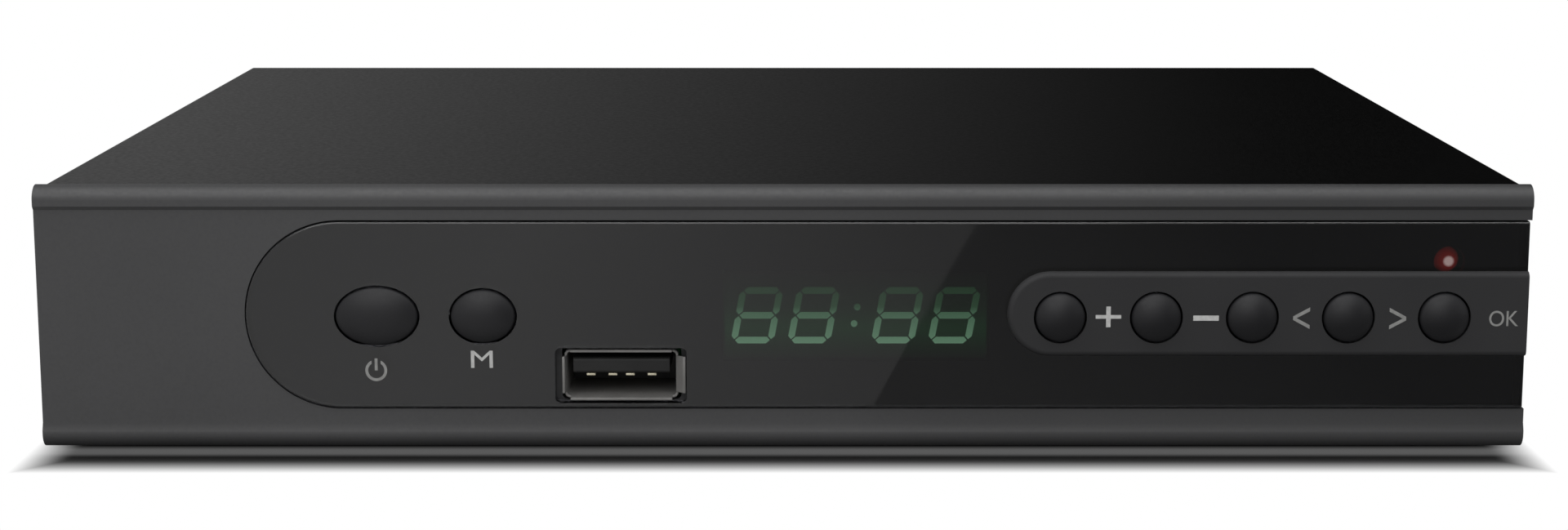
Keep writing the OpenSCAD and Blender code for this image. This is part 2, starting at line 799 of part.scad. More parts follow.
// Slots in the floor under the processor
module floor_slots() {
    slot_run = (slot_count - 1) * slot_pitch;
    for (i = [0 : slot_count - 1])
        translate([processor_mid - slot_run / 2 + i * slot_pitch, processor_y, floor_z])
            cube([slot_w, floor_slot_l, 4 * sheet_t], center = true);
}

module bottom_chassis() {
    color("#8f9296") difference() {
        union() {
            block([-floor_half, sheet_front, floor_z], [floor_half, wall_out, floor_top]);
            block([-floor_half, wall_in, floor_z], [floor_half, wall_out, wall_top]);
            for (side = [-1, 1]) translate([side * (floor_half - sheet_t / 2), 0, 0])
                block([-sheet_t / 2, rim_end + sheet_gap, floor_z],
                    [sheet_t / 2, wall_out, floor_z + side_flange_h]);
        }
        rear_ports();
        floor_slots();
        for (side = [-1, 1]) screw_hole_z(side * panel_screw_x, panel_screw_y, floor_z - cut,
            sheet_t + 2 * cut, screw_clear);
    }
}

module rubber_feet() {
    feet_y = [lip_y + foot_inset, rear_y - foot_inset];
    color("#1a1a1a") for (side = [-1, 1], y = feet_y)
        translate([side * (case_w / 2 - foot_inset), y, 0])
            cylinder(h = floor_z, d1 = foot_d - 2 * foot_taper, d2 = foot_d);
}

module cover_screws() {
    color("#303030") for (x = cover_screw_x)
        translate([x, rear_y, cover_screw_z]) rotate([-90, 0, 0]) screw(screw_l);
}

module panel_screws() {
    color("#303030") for (side = [-1, 1])
        translate([side * panel_screw_x, panel_screw_y, floor_z]) rotate([180, 0, 0]) screw(screw_l);
}

// Buttons and switches

// Button with a domed front, a flange behind the wall and a stem
module button(i) {
    x = button_x[i];
    front = button_front[i];
    intersection() {
        translate([x, 0, button_z]) plate_y(front, flange_y - front) oval(button_w[i], button_h[i]);
        translate([x, front + dome_r, button_z]) rotate([90, 0, 0]) sphere(r = dome_r);
    }
    translate([x, 0, button_z]) plate_y(flange_y, flange_t)
        oval(button_w[i] + 2 * flange_rim, button_h[i] + 2 * flange_rim);
    rod_y(x, button_z, stem_y, stem_l, stem_d);
}

module power_button() { color("#333335") button(0); }
module menu_button() { color("#333335") button(1); }
module plus_button() { color("#2e2e30") button(2); }
module minus_button() { color("#2e2e30") button(3); }
module left_button() { color("#2e2e30") button(4); }
module right_button() { color("#2e2e30") button(5); }
module ok_button() { color("#2e2e30") button(6); }

module plunger(i) {
    rod_y(button_x[i], button_z, plunger_y, plunger_out + plunger_in, plunger_d);
}

module power_plunger() { color("#1b1b1b") plunger(0); }
module menu_plunger() { color("#1b1b1b") plunger(1); }
module plus_plunger() { color("#1b1b1b") plunger(2); }
module minus_plunger() { color("#1b1b1b") plunger(3); }
module left_plunger() { color("#1b1b1b") plunger(4); }
module right_plunger() { color("#1b1b1b") plunger(5); }
module ok_plunger() { color("#1b1b1b") plunger(6); }

module switch_housings() {
    half = switch_w / 2;
    well = plunger_in + travel + plunger_room;
    color("#9a9a9a") for (x = button_x) difference() {
        block([x - half, switch_y, button_z - half], [x + half, front_board_y, button_z + half]);
        rod_y(x, button_z, switch_y - cut, well + cut, plunger_d + 2 * plunger_gap);
    }
}

// Front board and what it carries

module front_board() {
    color("#1f5a35") difference() {
        block([-front_board_half, front_board_y, front_board_z],
            [front_board_half, front_board_back, front_board_top]);
        plate_y(front_board_y - cut, front_board_t + 2 * cut) socket_outline(notch_gap);
        for (post = posts) rod_y(post[0], post[1], front_board_y - cut, front_board_t + 2 * cut,
            screw_d + 2 * screw_clear);
    }
}

module front_board_screws() {
    color("#b8b8b8") for (post = posts)
        translate([post[0], front_board_back, post[1]]) rotate([-90, 0, 0]) screw(front_screw_l);
}

module display_module() {
    color("#202422") translate([display_mid, 0, display_z])
        plate_y(behind_lens, front_board_y - behind_lens) square([display_w, display_h], center = true);
}

// Point of a digit, leaned to the right
function leaned(p) = [p[0] + p[1] * tan(digit_lean), p[1]];

// Six-sided segment along X, of a length between the corners that it joins
function segment(l) =
    let (a = l / 2 - segment_gap, b = l / 2 - segment_gap - segment_w / 2, s = segment_w / 2)
    [[-a, 0], [-b, -s], [b, -s], [a, 0], [b, s], [-b, s]];

// Segments of one digit
module digit() {
    for (row = [-1 : 1])
        polygon([for (p = segment(digit_w)) leaned([p[0], p[1] + row * digit_h / 2])]);
    for (side = [-1, 1], half = [-1, 1])
        polygon([for (p = segment(digit_h / 2))
            leaned([p[1] + side * digit_w / 2, p[0] + half * digit_h / 4])]);
}

module display_segments() {
    inner = pair_pitch / 2;
    outer = inner + digit_pitch;
    color("#6f9a78") translate([display_mid, 0, display_z]) plate_y(behind_lens - segment_t, segment_t) {
        for (x = [-outer, -inner, inner, outer]) translate([x, 0]) digit();
        for (half = [-1, 1]) translate(leaned([0, half * digit_h / 6])) circle(d = segment_w);
    }
}

module status_light() {
    body_end = behind_lens + led_l;
    color("#c03030") {
        translate([led_x, behind_lens, led_z]) rotate([-90, 0, 0])
            cylinder(h = led_d / 2, d1 = led_d / 2, d2 = led_d);
        rod_y(led_x, led_z, behind_lens + led_d / 2, led_l - led_d / 2, led_d);
        for (side = [-1, 1])
            rod_y(led_x + side * lead_pitch / 2, led_z, body_end, front_board_y - body_end, lead_d);
    }
}

module remote_receiver() {
    body_end = behind_lens + receiver_t;
    color("#2a2320") {
        translate([receiver_mid, 0, receiver_z]) plate_y(behind_lens, receiver_t)
            square([receiver_w, receiver_h], center = true);
        for (i = [-1 : 1])
            rod_y(receiver_mid + i * lead_pitch, receiver_z, body_end, front_board_y - body_end, lead_d);
    }
}

module board_connector() {
    color("#e8e4d8") block([connector_mid - connector_l / 2, front_board_back, board_top],
        [connector_mid + connector_l / 2, front_board_back + connector_t, board_top + connector_h]);
}

// Main board and what it carries

// Does something at each board screw
module at_board_screws() {
    for (side = [-1, 1], y = board_screw_y) translate([side * board_screw_x, y, 0]) children();
}

module main_board() {
    color("#1f5a35") difference() {
        block([-board_half, board_front, board_z], [board_half, board_rear, board_top]);
        at_board_screws() screw_hole_z(0, 0, board_z - cut, board_t + 2 * cut, screw_clear);
    }
}

module board_standoffs() {
    color("#a8a8a8") at_board_screws() difference() {
        translate([0, 0, floor_top]) cylinder(h = standoff_h, d = standoff_d);
        screw_hole_z(0, 0, floor_top - cut, standoff_h + 2 * cut, screw_fit);
    }
}

module board_screws() {
    color("#b8b8b8") at_board_screws() translate([0, 0, board_top]) screw(board_screw_l);
}

module processor() {
    half = processor_w / 2;
    color("#252525") block([processor_mid - half, processor_y - half, board_top],
        [processor_mid + half, processor_y + half, board_top + processor_t]);
}

module heat_sink() {
    half = heatsink_w / 2;
    base_z = board_top + processor_t;
    fin_z = base_z + heatsink_base;
    fin_step = (heatsink_w - fin_t) / (fin_count - 1);
    color("#9aa0a6") {
        block([processor_mid - half, processor_y - half, base_z],
            [processor_mid + half, processor_y + half, fin_z]);
        for (i = [0 : fin_count - 1])
            translate([processor_mid - half + i * fin_step, processor_y - half, fin_z])
                cube([fin_t, heatsink_w, fin_h]);
    }
}

// Two memory chips left of the heat sink
module memory_chips() {
    color("#252525") for (side = [-1, 1])
        translate([processor_mid - beside - memory_w / 2,
                   processor_y + side * memory_l * 2 / 3, board_top])
            translate([-memory_w / 2, -memory_l / 2, 0]) cube([memory_w, memory_l, memory_t]);
}

// Upright metal can with round ends, right of the heat sink
module crystal() {
    color("#c4c6c8") translate([processor_mid + beside + crystal_w / 2, processor_y, board_top])
        rotate([0, 0, 90]) linear_extrude(crystal_h) oval(crystal_l, crystal_w);
}

// Row of capacitors in front of the power inlet
module capacitors() {
    row_y = inlet_rear - inlet_l - cap_d;
    color("#22304a") for (i = [0 : cap_count - 1])
        translate([inlet_mid + cap_pitch * (i + 1 / 2), row_y, board_top]) cylinder(h = cap_h, d = cap_d);
}

// Two square power coils in front of the capacitors
module power_coils() {
    row_y = inlet_rear - inlet_l - 2 * cap_d - coil_w;
    color("#3c3f44") for (i = [0, 1])
        translate([inlet_mid + cap_pitch * (i + 1 / 2) - coil_w / 2, row_y - coil_w / 2, board_top])
            cube([coil_w, coil_w, coil_h]);
}

module tuner_can() {
    color("#c9cbcd") block([can_x - can_w / 2, can_rear - can_l, board_top],
        [can_x + can_w / 2, can_rear, board_top + can_h]);
}

// Data socket at the front

module data_socket_shell() {
    color("#c6c8ca") plate_y(socket_y, socket_l) difference() {
        socket_outline(0);
        socket_outline(-socket_wall);
    }
}

module data_socket_tongue() {
    block_y = socket_y + socket_depth;
    color("#1a1a1a") {
        block([socket_mid - tongue_w / 2, tongue_y, tongue_z],
            [socket_mid + tongue_w / 2, block_y, tongue_z + tongue_t]);
        plate_y(block_y, socket_l - socket_depth) socket_outline(-socket_wall);
    }
}

module data_socket_contacts() {
    color("#d8c48a") for (x = [-contact_outer, -contact_inner, contact_inner, contact_outer])
        block([socket_mid + x - contact_w / 2, tongue_y, tongue_z - contact_t],
            [socket_mid + x + contact_w / 2, socket_y + socket_depth, tongue_z]);
}

// Aerial sockets on the tuner

module aerial_in_shell() {
    color("#c9cbcd")
        tube_y(aerial_x[0], aerial_z, can_rear, aerial_end - can_rear, aerial_in_d, aerial_bore_d);
}

module aerial_in_contact() {
    color("#d8c48a") tube_y(aerial_x[0], aerial_z, can_rear, aerial_end - aerial_contact_set - can_rear,
        aerial_contact_d, aerial_pin_d);
}

module aerial_out_shell() {
    color("#c9cbcd") rooted_tube(aerial_x[1], aerial_z, can_rear, rear_y, aerial_end, aerial_out_d,
        aerial_out_bore_d);
}

module aerial_out_pin() {
    color("#d8c48a") rod_y(aerial_x[1], aerial_z, can_rear, aerial_end - aerial_contact_set - can_rear,
        aerial_pin_d);
}

// Discs that hold the middle contacts, as deep as the rear wall
module aerial_insulators() {
    depth = rear_y - can_rear;
    color("#efefe8") {
        tube_y(aerial_x[0], aerial_z, can_rear, depth, aerial_bore_d, aerial_contact_d);
        tube_y(aerial_x[1], aerial_z, can_rear, depth, aerial_out_bore_d, aerial_pin_d);
    }
}

// Video socket

// Outline with cut lower corners, grown by a margin
module video_outline(margin) {
    w = video_w / 2 + margin;
    h = video_h / 2 + margin;
    corner = video_cut + margin * (2 - sqrt(2));
    translate([video_mid, video_z])
        polygon([[-w, h], [-w, corner - h], [corner - w, -h], [w - corner, -h], [w, corner - h], [w, h]]);
}

module video_socket_shell() {
    color("#c6c8ca") plate_y(video_end - video_l, video_l) difference() {
        video_outline(video_wall);
        video_outline(0);
    }
}

module video_socket_tongue() {
    block_l = video_l - video_depth;
    color("#1a1a1a") {
        plate_y(video_end - video_l, block_l) video_outline(0);
        translate([video_mid, 0, video_z]) plate_y(video_end - video_depth, video_depth - tongue_set)
            square([video_tongue_w, video_tongue_t], center = true);
    }
}

// Audio and video jacks

module jack_block() {
    half = jack_pitch * jack_count / 2;
    color("#1f1f1f") block([jack_mid - half, jack_block_rear - jack_block_l, board_top],
        [jack_mid + half, jack_block_rear, board_top + jack_block_h]);
}

module jack_sleeves() {
    root_end = rear_y + collar_reach + sleeve_gap;
    color("#c9cbcd") for (x = jack_places)
        rooted_tube(x, jack_z, jack_block_rear, root_end, jack_end, sleeve_d, sleeve_d - 2 * sleeve_wall);
}

// Coloured collar round a sleeve and insert inside it
module jack_insert(i) {
    tube_y(jack_places[i], jack_z, jack_block_rear, rear_y + collar_reach - jack_block_rear, collar_d,
        sleeve_d + 2 * sleeve_gap);
    tube_y(jack_places[i], jack_z, jack_block_rear, jack_end - insert_set - jack_block_rear, insert_d,
        pin_hole_d);
}

module yellow_insert() { color("#e6b800") jack_insert(2); }
module white_insert() { color("#e8e8e4") jack_insert(1); }
module red_insert() { color("#b81f24") jack_insert(0); }

// Power inlet

module power_inlet() {
    color("#1c1c1c") difference() {
        union() {
            block([inlet_mid - inlet_w / 2, inlet_rear - inlet_l, board_top],
                [inlet_mid + inlet_w / 2, inlet_rear, board_top + inlet_h]);
            rod_y(inlet_mid, inlet_z, inlet_rear - inlet_l / 2, inlet_end - inlet_rear + inlet_l / 2,
                inlet_nose_d);
        }
        rod_y(inlet_mid, inlet_z, inlet_end - inlet_depth, inlet_depth + cut, inlet_bore_d);
    }
}

module power_inlet_pin() {
    color("#c9cbcd")
        rod_y(inlet_mid, inlet_z, inlet_end - inlet_depth, inlet_depth - tongue_set, inlet_pin_d);
}

front_panel();
front_lens();
key_strip();
top_cover();
bottom_chassis();
rubber_feet();
cover_screws();
panel_screws();
power_button();
menu_button();
plus_button();
minus_button();
left_button();
right_button();
ok_button();
power_plunger();
menu_plunger();
plus_plunger();
minus_plunger();
left_plunger();
right_plunger();
ok_plunger();
switch_housings();
front_board();
front_board_screws();
display_module();
display_segments();
status_light();
remote_receiver();
board_connector();
main_board();
board_standoffs();
board_screws();
processor();
heat_sink();
memory_chips();
crystal();
capacitors();
power_coils();
tuner_can();
data_socket_shell();
data_socket_tongue();
data_socket_contacts();
aerial_in_shell();
aerial_in_contact();
aerial_out_shell();
aerial_out_pin();
aerial_insulators();
video_socket_shell();
video_socket_tongue();
jack_block();
jack_sleeves();
yellow_insert();
white_insert();
red_insert();
power_inlet();
power_inlet_pin();
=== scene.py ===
"""Digital TV receiver: bevelled pieces, materials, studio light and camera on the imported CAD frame."""
import math

import bmesh
import bpy
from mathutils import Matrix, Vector


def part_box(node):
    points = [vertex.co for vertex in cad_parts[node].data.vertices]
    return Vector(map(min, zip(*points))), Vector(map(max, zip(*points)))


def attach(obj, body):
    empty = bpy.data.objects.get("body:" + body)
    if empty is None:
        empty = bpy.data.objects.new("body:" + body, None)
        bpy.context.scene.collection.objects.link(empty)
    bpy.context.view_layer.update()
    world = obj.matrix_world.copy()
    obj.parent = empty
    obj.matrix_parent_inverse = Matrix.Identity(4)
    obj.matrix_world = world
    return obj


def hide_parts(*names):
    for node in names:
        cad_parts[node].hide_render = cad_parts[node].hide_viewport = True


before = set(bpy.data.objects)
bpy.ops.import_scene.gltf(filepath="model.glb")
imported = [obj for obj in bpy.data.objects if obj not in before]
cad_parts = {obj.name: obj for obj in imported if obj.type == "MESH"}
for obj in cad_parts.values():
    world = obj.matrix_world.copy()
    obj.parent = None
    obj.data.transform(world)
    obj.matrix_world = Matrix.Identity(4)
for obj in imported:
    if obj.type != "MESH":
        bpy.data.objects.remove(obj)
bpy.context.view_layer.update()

# Lengths on the part are in millimetres, and this makes them Blender's metres
MM = 0.001

# How far a cutting tool runs past what it cuts
HIDDEN_CUT = 1.0

# Tolerances for level points, for tests, for full bevels and for welds
NEAR = 0.004
SLACK = 0.01
HAIR = 0.002
WELD = 0.02


# Modelling with operators


def box_of(node):
    """Lowest and highest corner of a CAD node."""
    low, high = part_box(node)
    return low / MM, high / MM


def pick(piece):
    """Makes a piece the only selected object."""
    bpy.ops.object.select_all(action="DESELECT")
    piece.select_set(True)
    bpy.context.view_layer.objects.active = piece


def settle(name):
    """Names the object just added, and moves its place, turn and size into its mesh."""
    bpy.ops.object.transform_apply(location=True, rotation=True, scale=True)
    piece = bpy.context.object
    piece.name = name
    return piece


def block(name, corner, opposite):
    """Box between two opposite corners."""
    low = Vector(map(min, corner, opposite)) * MM
    high = Vector(map(max, corner, opposite)) * MM
    bpy.ops.object.select_all(action="DESELECT")
    bpy.ops.mesh.primitive_cube_add(size=1, location=(low + high) / 2, scale=high - low)
    return settle(name)


def rod(name, start, end, diameter, sides=64):
    """Round rod between two points."""
    start = Vector(start) * MM
    end = Vector(end) * MM
    run = end - start
    bpy.ops.object.select_all(action="DESELECT")
    bpy.ops.mesh.primitive_cylinder_add(
        vertices=sides,
        radius=diameter / 2 * MM,
        depth=run.length,
        location=(start + end) / 2,
        rotation=run.to_track_quat("Z", "Y").to_euler(),
    )
    return settle(name)


def at(**place):
    """Test for points that all lie at the given x, y or z."""
    def level(point):
        return all(abs(getattr(point, axis) - value) < NEAR for axis, value in place.items())
    return lambda points: all(map(level, points))


def along(axis, **place):
    """Test for edges that run along one axis and lie at the given place."""
    others = [other for other in "xyz" if other != axis]

    def test(points):
        level = all(abs(getattr(points[0], a) - getattr(points[1], a)) < NEAR for a in others)
        return level and at(**place)(points)
    return test


def choose(piece, kind, test):
    """Opens a piece in edit mode, with the vertices, edges or faces selected that pass a test."""
    pick(piece)
    bpy.ops.object.mode_set(mode="EDIT")
    bpy.ops.mesh.select_mode(type=kind)
    bpy.ops.mesh.select_all(action="DESELECT")
    mesh = bmesh.from_edit_mesh(piece.data)
    for part in {"VERT": mesh.verts, "EDGE": mesh.edges, "FACE": mesh.faces}[kind]:
        points = [part.co / MM] if kind == "VERT" else [v.co / MM for v in part.verts]
        if test(points):
            part.select_set(True)
    mesh.select_flush_mode()
    bmesh.update_edit_mesh(piece.data)


def leave():
    """Goes back to object mode."""
    bpy.ops.object.mode_set(mode="OBJECT")


def bevel(piece, test, width, segments):
    """Rounds the edges that pass a test, or chamfers them with one segment."""
    choose(piece, "EDGE", test)
    bpy.ops.mesh.bevel(offset=width * MM, segments=segments, affect="EDGES")
    leave()


def extrude(piece, test, move, inset=0):
    """Extrudes the faces that pass a test, inside a border if an inset is given."""
    choose(piece, "FACE", test)
    if inset:
        bpy.ops.mesh.inset(thickness=inset * MM)
    bpy.ops.mesh.extrude_region_move(TRANSFORM_OT_translate={"value": Vector(move) * MM})
    leave()


def resize(piece, test, factors, centre):
    """Scales the points that pass a test, about a centre."""
    choose(piece, "VERT", test)
    bpy.ops.transform.resize(value=factors, center_override=Vector(centre) * MM)
    leave()


def move_points(piece, test, move):
    """Moves the points that pass a test."""
    choose(piece, "VERT", test)
    bpy.ops.transform.translate(value=Vector(move) * MM)
    leave()


def weld(piece):
    """Merges points that a full-width bevel has brought together."""
    choose(piece, "VERT", lambda points: True)
    bpy.ops.mesh.remove_doubles(threshold=WELD * MM)
    leave()


def slice_at(piece, point, normal):
    """Adds an edge loop where a plane crosses a piece."""
    choose(piece, "FACE", lambda points: True)
    bpy.ops.mesh.bisect(plane_co=Vector(point) * MM, plane_no=normal)
    leave()


def drop_faces(piece, test):
    """Deletes the faces that pass a test."""
    choose(piece, "FACE", test)
    bpy.ops.mesh.delete(type="FACE")
    leave()


def modify(piece, kind, **settings):
    """Adds a modifier with its settings, and applies it."""
    pick(piece)
    modifier = piece.modifiers.new(kind, kind)
    for name, value in settings.items():
        setattr(modifier, name, value)
    bpy.ops.object.modifier_apply(modifier=modifier.name)


def join(name, parts):
    """Makes one piece of several."""
    pick(parts[0])
    for part in parts[1:]:
        part.select_set(True)
    if len(parts) > 1:
        bpy.ops.object.join()
    parts[0].name = name
    return parts[0]


def cut(piece, tools):
    """Cuts tools out of a piece, and removes the tools."""
    tool = join("tool", tools)
    modify(piece, "BOOLEAN", operation="DIFFERENCE", solver="EXACT", object=tool)
    bpy.data.objects.remove(tool)


def copy_at(piece, moves, name):
    """One piece of copies of a modelled part, each moved from its place."""
    copies = []
    for move in moves:
        pick(piece)
        bpy.ops.object.duplicate()
        bpy.ops.transform.translate(value=Vector(move) * MM)
        bpy.ops.object.transform_apply(location=True, rotation=True, scale=True)
        copies.append(bpy.context.object)
    bpy.data.objects.remove(piece)
    return join(name, copies)


def smooth(piece, angle=35):
    """Smooth shading, except over sharp edges."""
    pick(piece)
    bpy.ops.object.shade_smooth_by_angle(angle=math.radians(angle))


def soften(piece, width, segments=2, angle=40):
    """Rounds all sharp edges a little, and smooths the shading so that flat faces stay flat."""
    modify(piece, "BEVEL", width=width * MM, segments=segments, limit_method="ANGLE",
           angle_limit=math.radians(angle))
    smooth(piece)
    modify(piece, "WEIGHTED_NORMAL", weight=100, keep_sharp=True)


def place(piece, body, finish, slot, *nodes):
    """Gives a piece its material and body, and hides the CAD nodes that it stands for; its record slot is
    not used.
    """
    piece.data.materials.clear()
    piece.data.materials.append(finish)
    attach(piece, body)
    if nodes:
        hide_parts(*nodes)


# Materials


def srgb(code):
    """Linear colour of an sRGB hex value."""
    parts = [int(code[i:i + 2], 16) / 255 for i in (1, 3, 5)]
    return [c / 12.92 if c <= 0.04045 else ((c + 0.055) / 1.055) ** 2.4 for c in parts] + [1]


def add(tree, kind, inputs=None, stops=(), **settings):
    """Adds a node with its settings, inputs and colour stops: a node as input gives its first output."""
    node = tree.nodes.new("ShaderNode" + kind)
    for name, value in settings.items():
        setattr(node, name, value)
    for name, value in (inputs or {}).items():
        if isinstance(value, bpy.types.Node):
            value = value.outputs[0]
        if isinstance(value, bpy.types.NodeSocket):
            tree.links.new(value, node.inputs[name])
        else:
            node.inputs[name].default_value = value
    for position, code in stops[1:-1]:
        node.color_ramp.elements.new(position)
    for index, (position, code) in enumerate(stops):
        node.color_ramp.elements[index].position = position
        node.color_ramp.elements[index].color = srgb(code)
    return node


def new_tree(name):
    """Empty material with its node tree and its Object coordinates."""
    made = bpy.data.materials.new(name)
    made.use_nodes = True
    made.node_tree.nodes.clear()
    coordinates = add(made.node_tree, "TexCoord").outputs["Object"]
    return made, made.node_tree, coordinates


def per_mm(size):
    """Texture scale at which a pattern repeats about every size."""
    return 1 / (size * MM)


def height_in(tree, coordinates, node):
    """Height as a share of a CAD node's own height."""
    low, high = box_of(node)
    height = add(tree, "SeparateXYZ", {"Vector": coordinates}).outputs["Z"]
    return add(tree, "MapRange", {"Value": height, "From Min": low.z * MM, "From Max": high.z * MM})


# The grain of most real finishes is too fine to show in the render, so it is drawn 0.15 to 0.6 mm coarse
def surface(name, light, dark, patch, grain, depth, rough, shader=None):
    """Moulded, painted or plated surface: its colour drifts in patches, a fine grain roughens it."""
    made, tree, coordinates = new_tree(name)
    drift = add(tree, "TexNoise", {"Vector": coordinates, "Scale": per_mm(patch), "Detail": 3})
    fine = add(tree, "TexNoise", {"Vector": coordinates, "Scale": per_mm(grain), "Detail": 2})
    colour = add(tree, "ValToRGB", {"Fac": drift}, [(0.3, dark), (0.7, light)])
    gloss = add(tree, "MapRange", {"Value": fine, "From Min": 0.3, "From Max": 0.7,
                                   "To Min": rough[0], "To Max": rough[1]})
    dent = add(tree, "Bump", {"Height": fine, "Strength": 1, "Distance": depth * MM})
    inputs = {"Base Color": colour, "Roughness": gloss, "Normal": dent}
    inputs.update(shader or {})
    bsdf = add(tree, "BsdfPrincipled", inputs)
    add(tree, "OutputMaterial", {"Surface": bsdf})
    return made


# ABS moulded in a spark-eroded tool: an even matt grey with a fine grain that softens every reflection
panel_abs = surface("textured_abs", "#343435", "#303031", 18, 0.35, 0.006, (0.48, 0.62))

# ABS with a finer satin tool finish: less shine than the panel, and darker on the buttons
strip_abs = surface("satin_abs", "#353536", "#323233", 12, 0.3, 0.004, (0.42, 0.52),
                    {"Specular IOR Level": 0.1})
button_abs = surface("button_abs", "#1d1d1f", "#1a1a1c", 5, 0.3, 0.004, (0.44, 0.54),
                     {"Specular IOR Level": 0.22})

# Polyester powder coat on steel: near black with a slight orange peel that shows only in grazing light
powder_coat = surface("black_powder_coat", "#030303", "#020202", 30, 0.6, 0.005, (0.34, 0.42),
                      {"Specular IOR Level": 0.18})

# A dull dark grey coat, on the chassis
matt_coat = surface("matt_powder_coat", "#151516", "#111112", 30, 0.6, 0.008, (0.5, 0.6))

# Moulded rubber: dull black that dust greys a little
foot_rubber = surface("moulded_rubber", "#1c1c1c", "#141414", 3, 0.3, 0.01, (0.75, 0.9))

# Black oxide on steel: dark with a dull metal sheen
oxide_steel = surface("black_oxide_steel", "#3a3a3c", "#2a2a2c", 1.5, 0.2, 0.003, (0.35, 0.5),
                      {"Metallic": 1})

# Nickel plate: bright with faint hazy patches from handling, and much rougher on the drawn shell
# The data shell's nickel is half metallic and painted darker: painted shade in the socket's mouth
shell_nickel_painted_shade = surface("nickel_shell_painted_darker", "#7b7a78", "#6f6e6c", 4, 0.25, 0.001, (0.5, 0.62),
                       {"Metallic": 0.5})
nickel = surface("nickel_plate", "#c9c8c4", "#b4b3ae", 4, 0.25, 0.001, (0.18, 0.3), {"Metallic": 1})

# Tinplate, zinc plate and bare aluminium: pale metals with a soft, slightly mottled sheen
tinplate = surface("tinplate", "#c4c6c8", "#aeb0b2", 6, 0.5, 0.002, (0.3, 0.45), {"Metallic": 1})
steel = surface("zinc_plated_steel", "#b9babb", "#9fa0a2", 2, 0.2, 0.002, (0.28, 0.42), {"Metallic": 1})
aluminium = surface("extruded_aluminium", "#b2b6ba", "#9da1a6", 5, 0.3, 0.002, (0.35, 0.5),
                    {"Metallic": 1})

# Gold flash on contacts: a warm yellow shine, paler where the gold is thin
gold = surface("gold_flash", "#d9b66a", "#c09c50", 2, 0.2, 0.001, (0.2, 0.32), {"Metallic": 1})
pale_gold = surface("thin_gold_flash", "#cfc8b2", "#b9b29c", 2, 0.2, 0.001, (0.2, 0.32), {"Metallic": 1})

# Nylon and PBT mouldings in the sockets and switches: even colours with a satin surface
socket_black = surface("black_nylon", "#121212", "#0d0d0d", 4, 0.25, 0.003, (0.42, 0.55),
                       {"Specular IOR Level": 0.25})
# The data tongue's nylon is painted a lighter grey than the other black nylon: painted light in the
# socket's mouth
tongue_nylon_painted_lighter = surface("black_nylon_painted_lighter", "#262626", "#202020", 4, 0.25, 0.003, (0.42, 0.55),
                       {"Specular IOR Level": 0.2})
insert_white = surface("white_pbt", "#e6e5df", "#d8d7d0", 3, 0.25, 0.003, (0.4, 0.52))
insert_yellow = surface("yellow_pbt", "#e0ac12", "#cf9a08", 3, 0.25, 0.003, (0.4, 0.52))
insert_red = surface("red_pbt", "#b3242a", "#9e1a20", 3, 0.25, 0.003, (0.4, 0.52))
connector_nylon = surface("cream_nylon", "#e4dfd0", "#d3cdbb", 4, 0.3, 0.003, (0.4, 0.55))
switch_nylon = surface("switch_nylon", "#2a2a2a", "#222222", 2, 0.25, 0.003, (0.4, 0.55))

# Moulded epoxy and pressed ferrite on the boards: dull dark greys with a dusty grain
chip_epoxy = surface("moulded_epoxy", "#2b2b2c", "#232324", 3, 0.15, 0.004, (0.6, 0.75))
ferrite = surface("pressed_ferrite", "#4a4c50", "#3d3f43", 2, 0.15, 0.006, (0.6, 0.8))

# Shrunk film on the capacitors and cast epoxy round the receiver: dark and glossy
sleeve_film = surface("shrunk_film", "#27364f", "#1e2b40", 3, 0.3, 0.002, (0.2, 0.3))
receiver_epoxy = surface("infrared_epoxy", "#221a1c", "#1a1416", 2, 0.3, 0.001, (0.12, 0.2))

# Screen-printed epoxy ink: a light grey film, slightly uneven, and duller where it is printed thin
print_ink = surface("printed_ink", "#c8c8c6", "#b2b2b1", 0.6, 0.15, 0.002, (0.5, 0.6))
thin_ink = surface("thin_printed_ink", "#929290", "#80807e", 0.6, 0.15, 0.002, (0.5, 0.6))


def smoked_acrylic():
    """Polished smoked acrylic: dark and see-through, with mirror gloss and faint wipe marks."""
    made, tree, coordinates = new_tree("smoked_acrylic")
    wipe = add(tree, "Mapping", {"Vector": coordinates, "Scale": (0.2, 1, 1)})
    haze = add(tree, "TexNoise", {"Vector": wipe, "Scale": per_mm(6), "Detail": 4})
    gloss = add(tree, "MapRange", {"Value": haze, "From Min": 0.35, "From Max": 0.7,
                                   "To Min": 0.03, "To Max": 0.07})
    tint = add(tree, "ValToRGB", {"Fac": haze}, [(0, "#5c5c60"), (1, "#58585c")])
    bsdf = add(tree, "BsdfPrincipled", {"Base Color": tint, "Roughness": gloss, "IOR": 1.49,
                                        "Transmission Weight": 1})
    add(tree, "OutputMaterial", {"Surface": bsdf})
    return made


def lit_green():
    """Dim green display segments: brighter towards the foot of each digit."""
    made, tree, coordinates = new_tree("green_segment_film")
    rise = height_in(tree, coordinates, "display_segments")
    glow = add(tree, "ValToRGB", {"Fac": rise},
               [(0, "#a6e6b2"), (0.54, "#76b082"), (0.66, "#44784e"), (1, "#2d5d36")])
    bsdf = add(tree, "BsdfPrincipled", {"Base Color": srgb("#5f7f64"), "Roughness": 0.4,
                                        "Emission Color": glow, "Emission Strength": 2})
    add(tree, "OutputMaterial", {"Surface": bsdf})
    return made


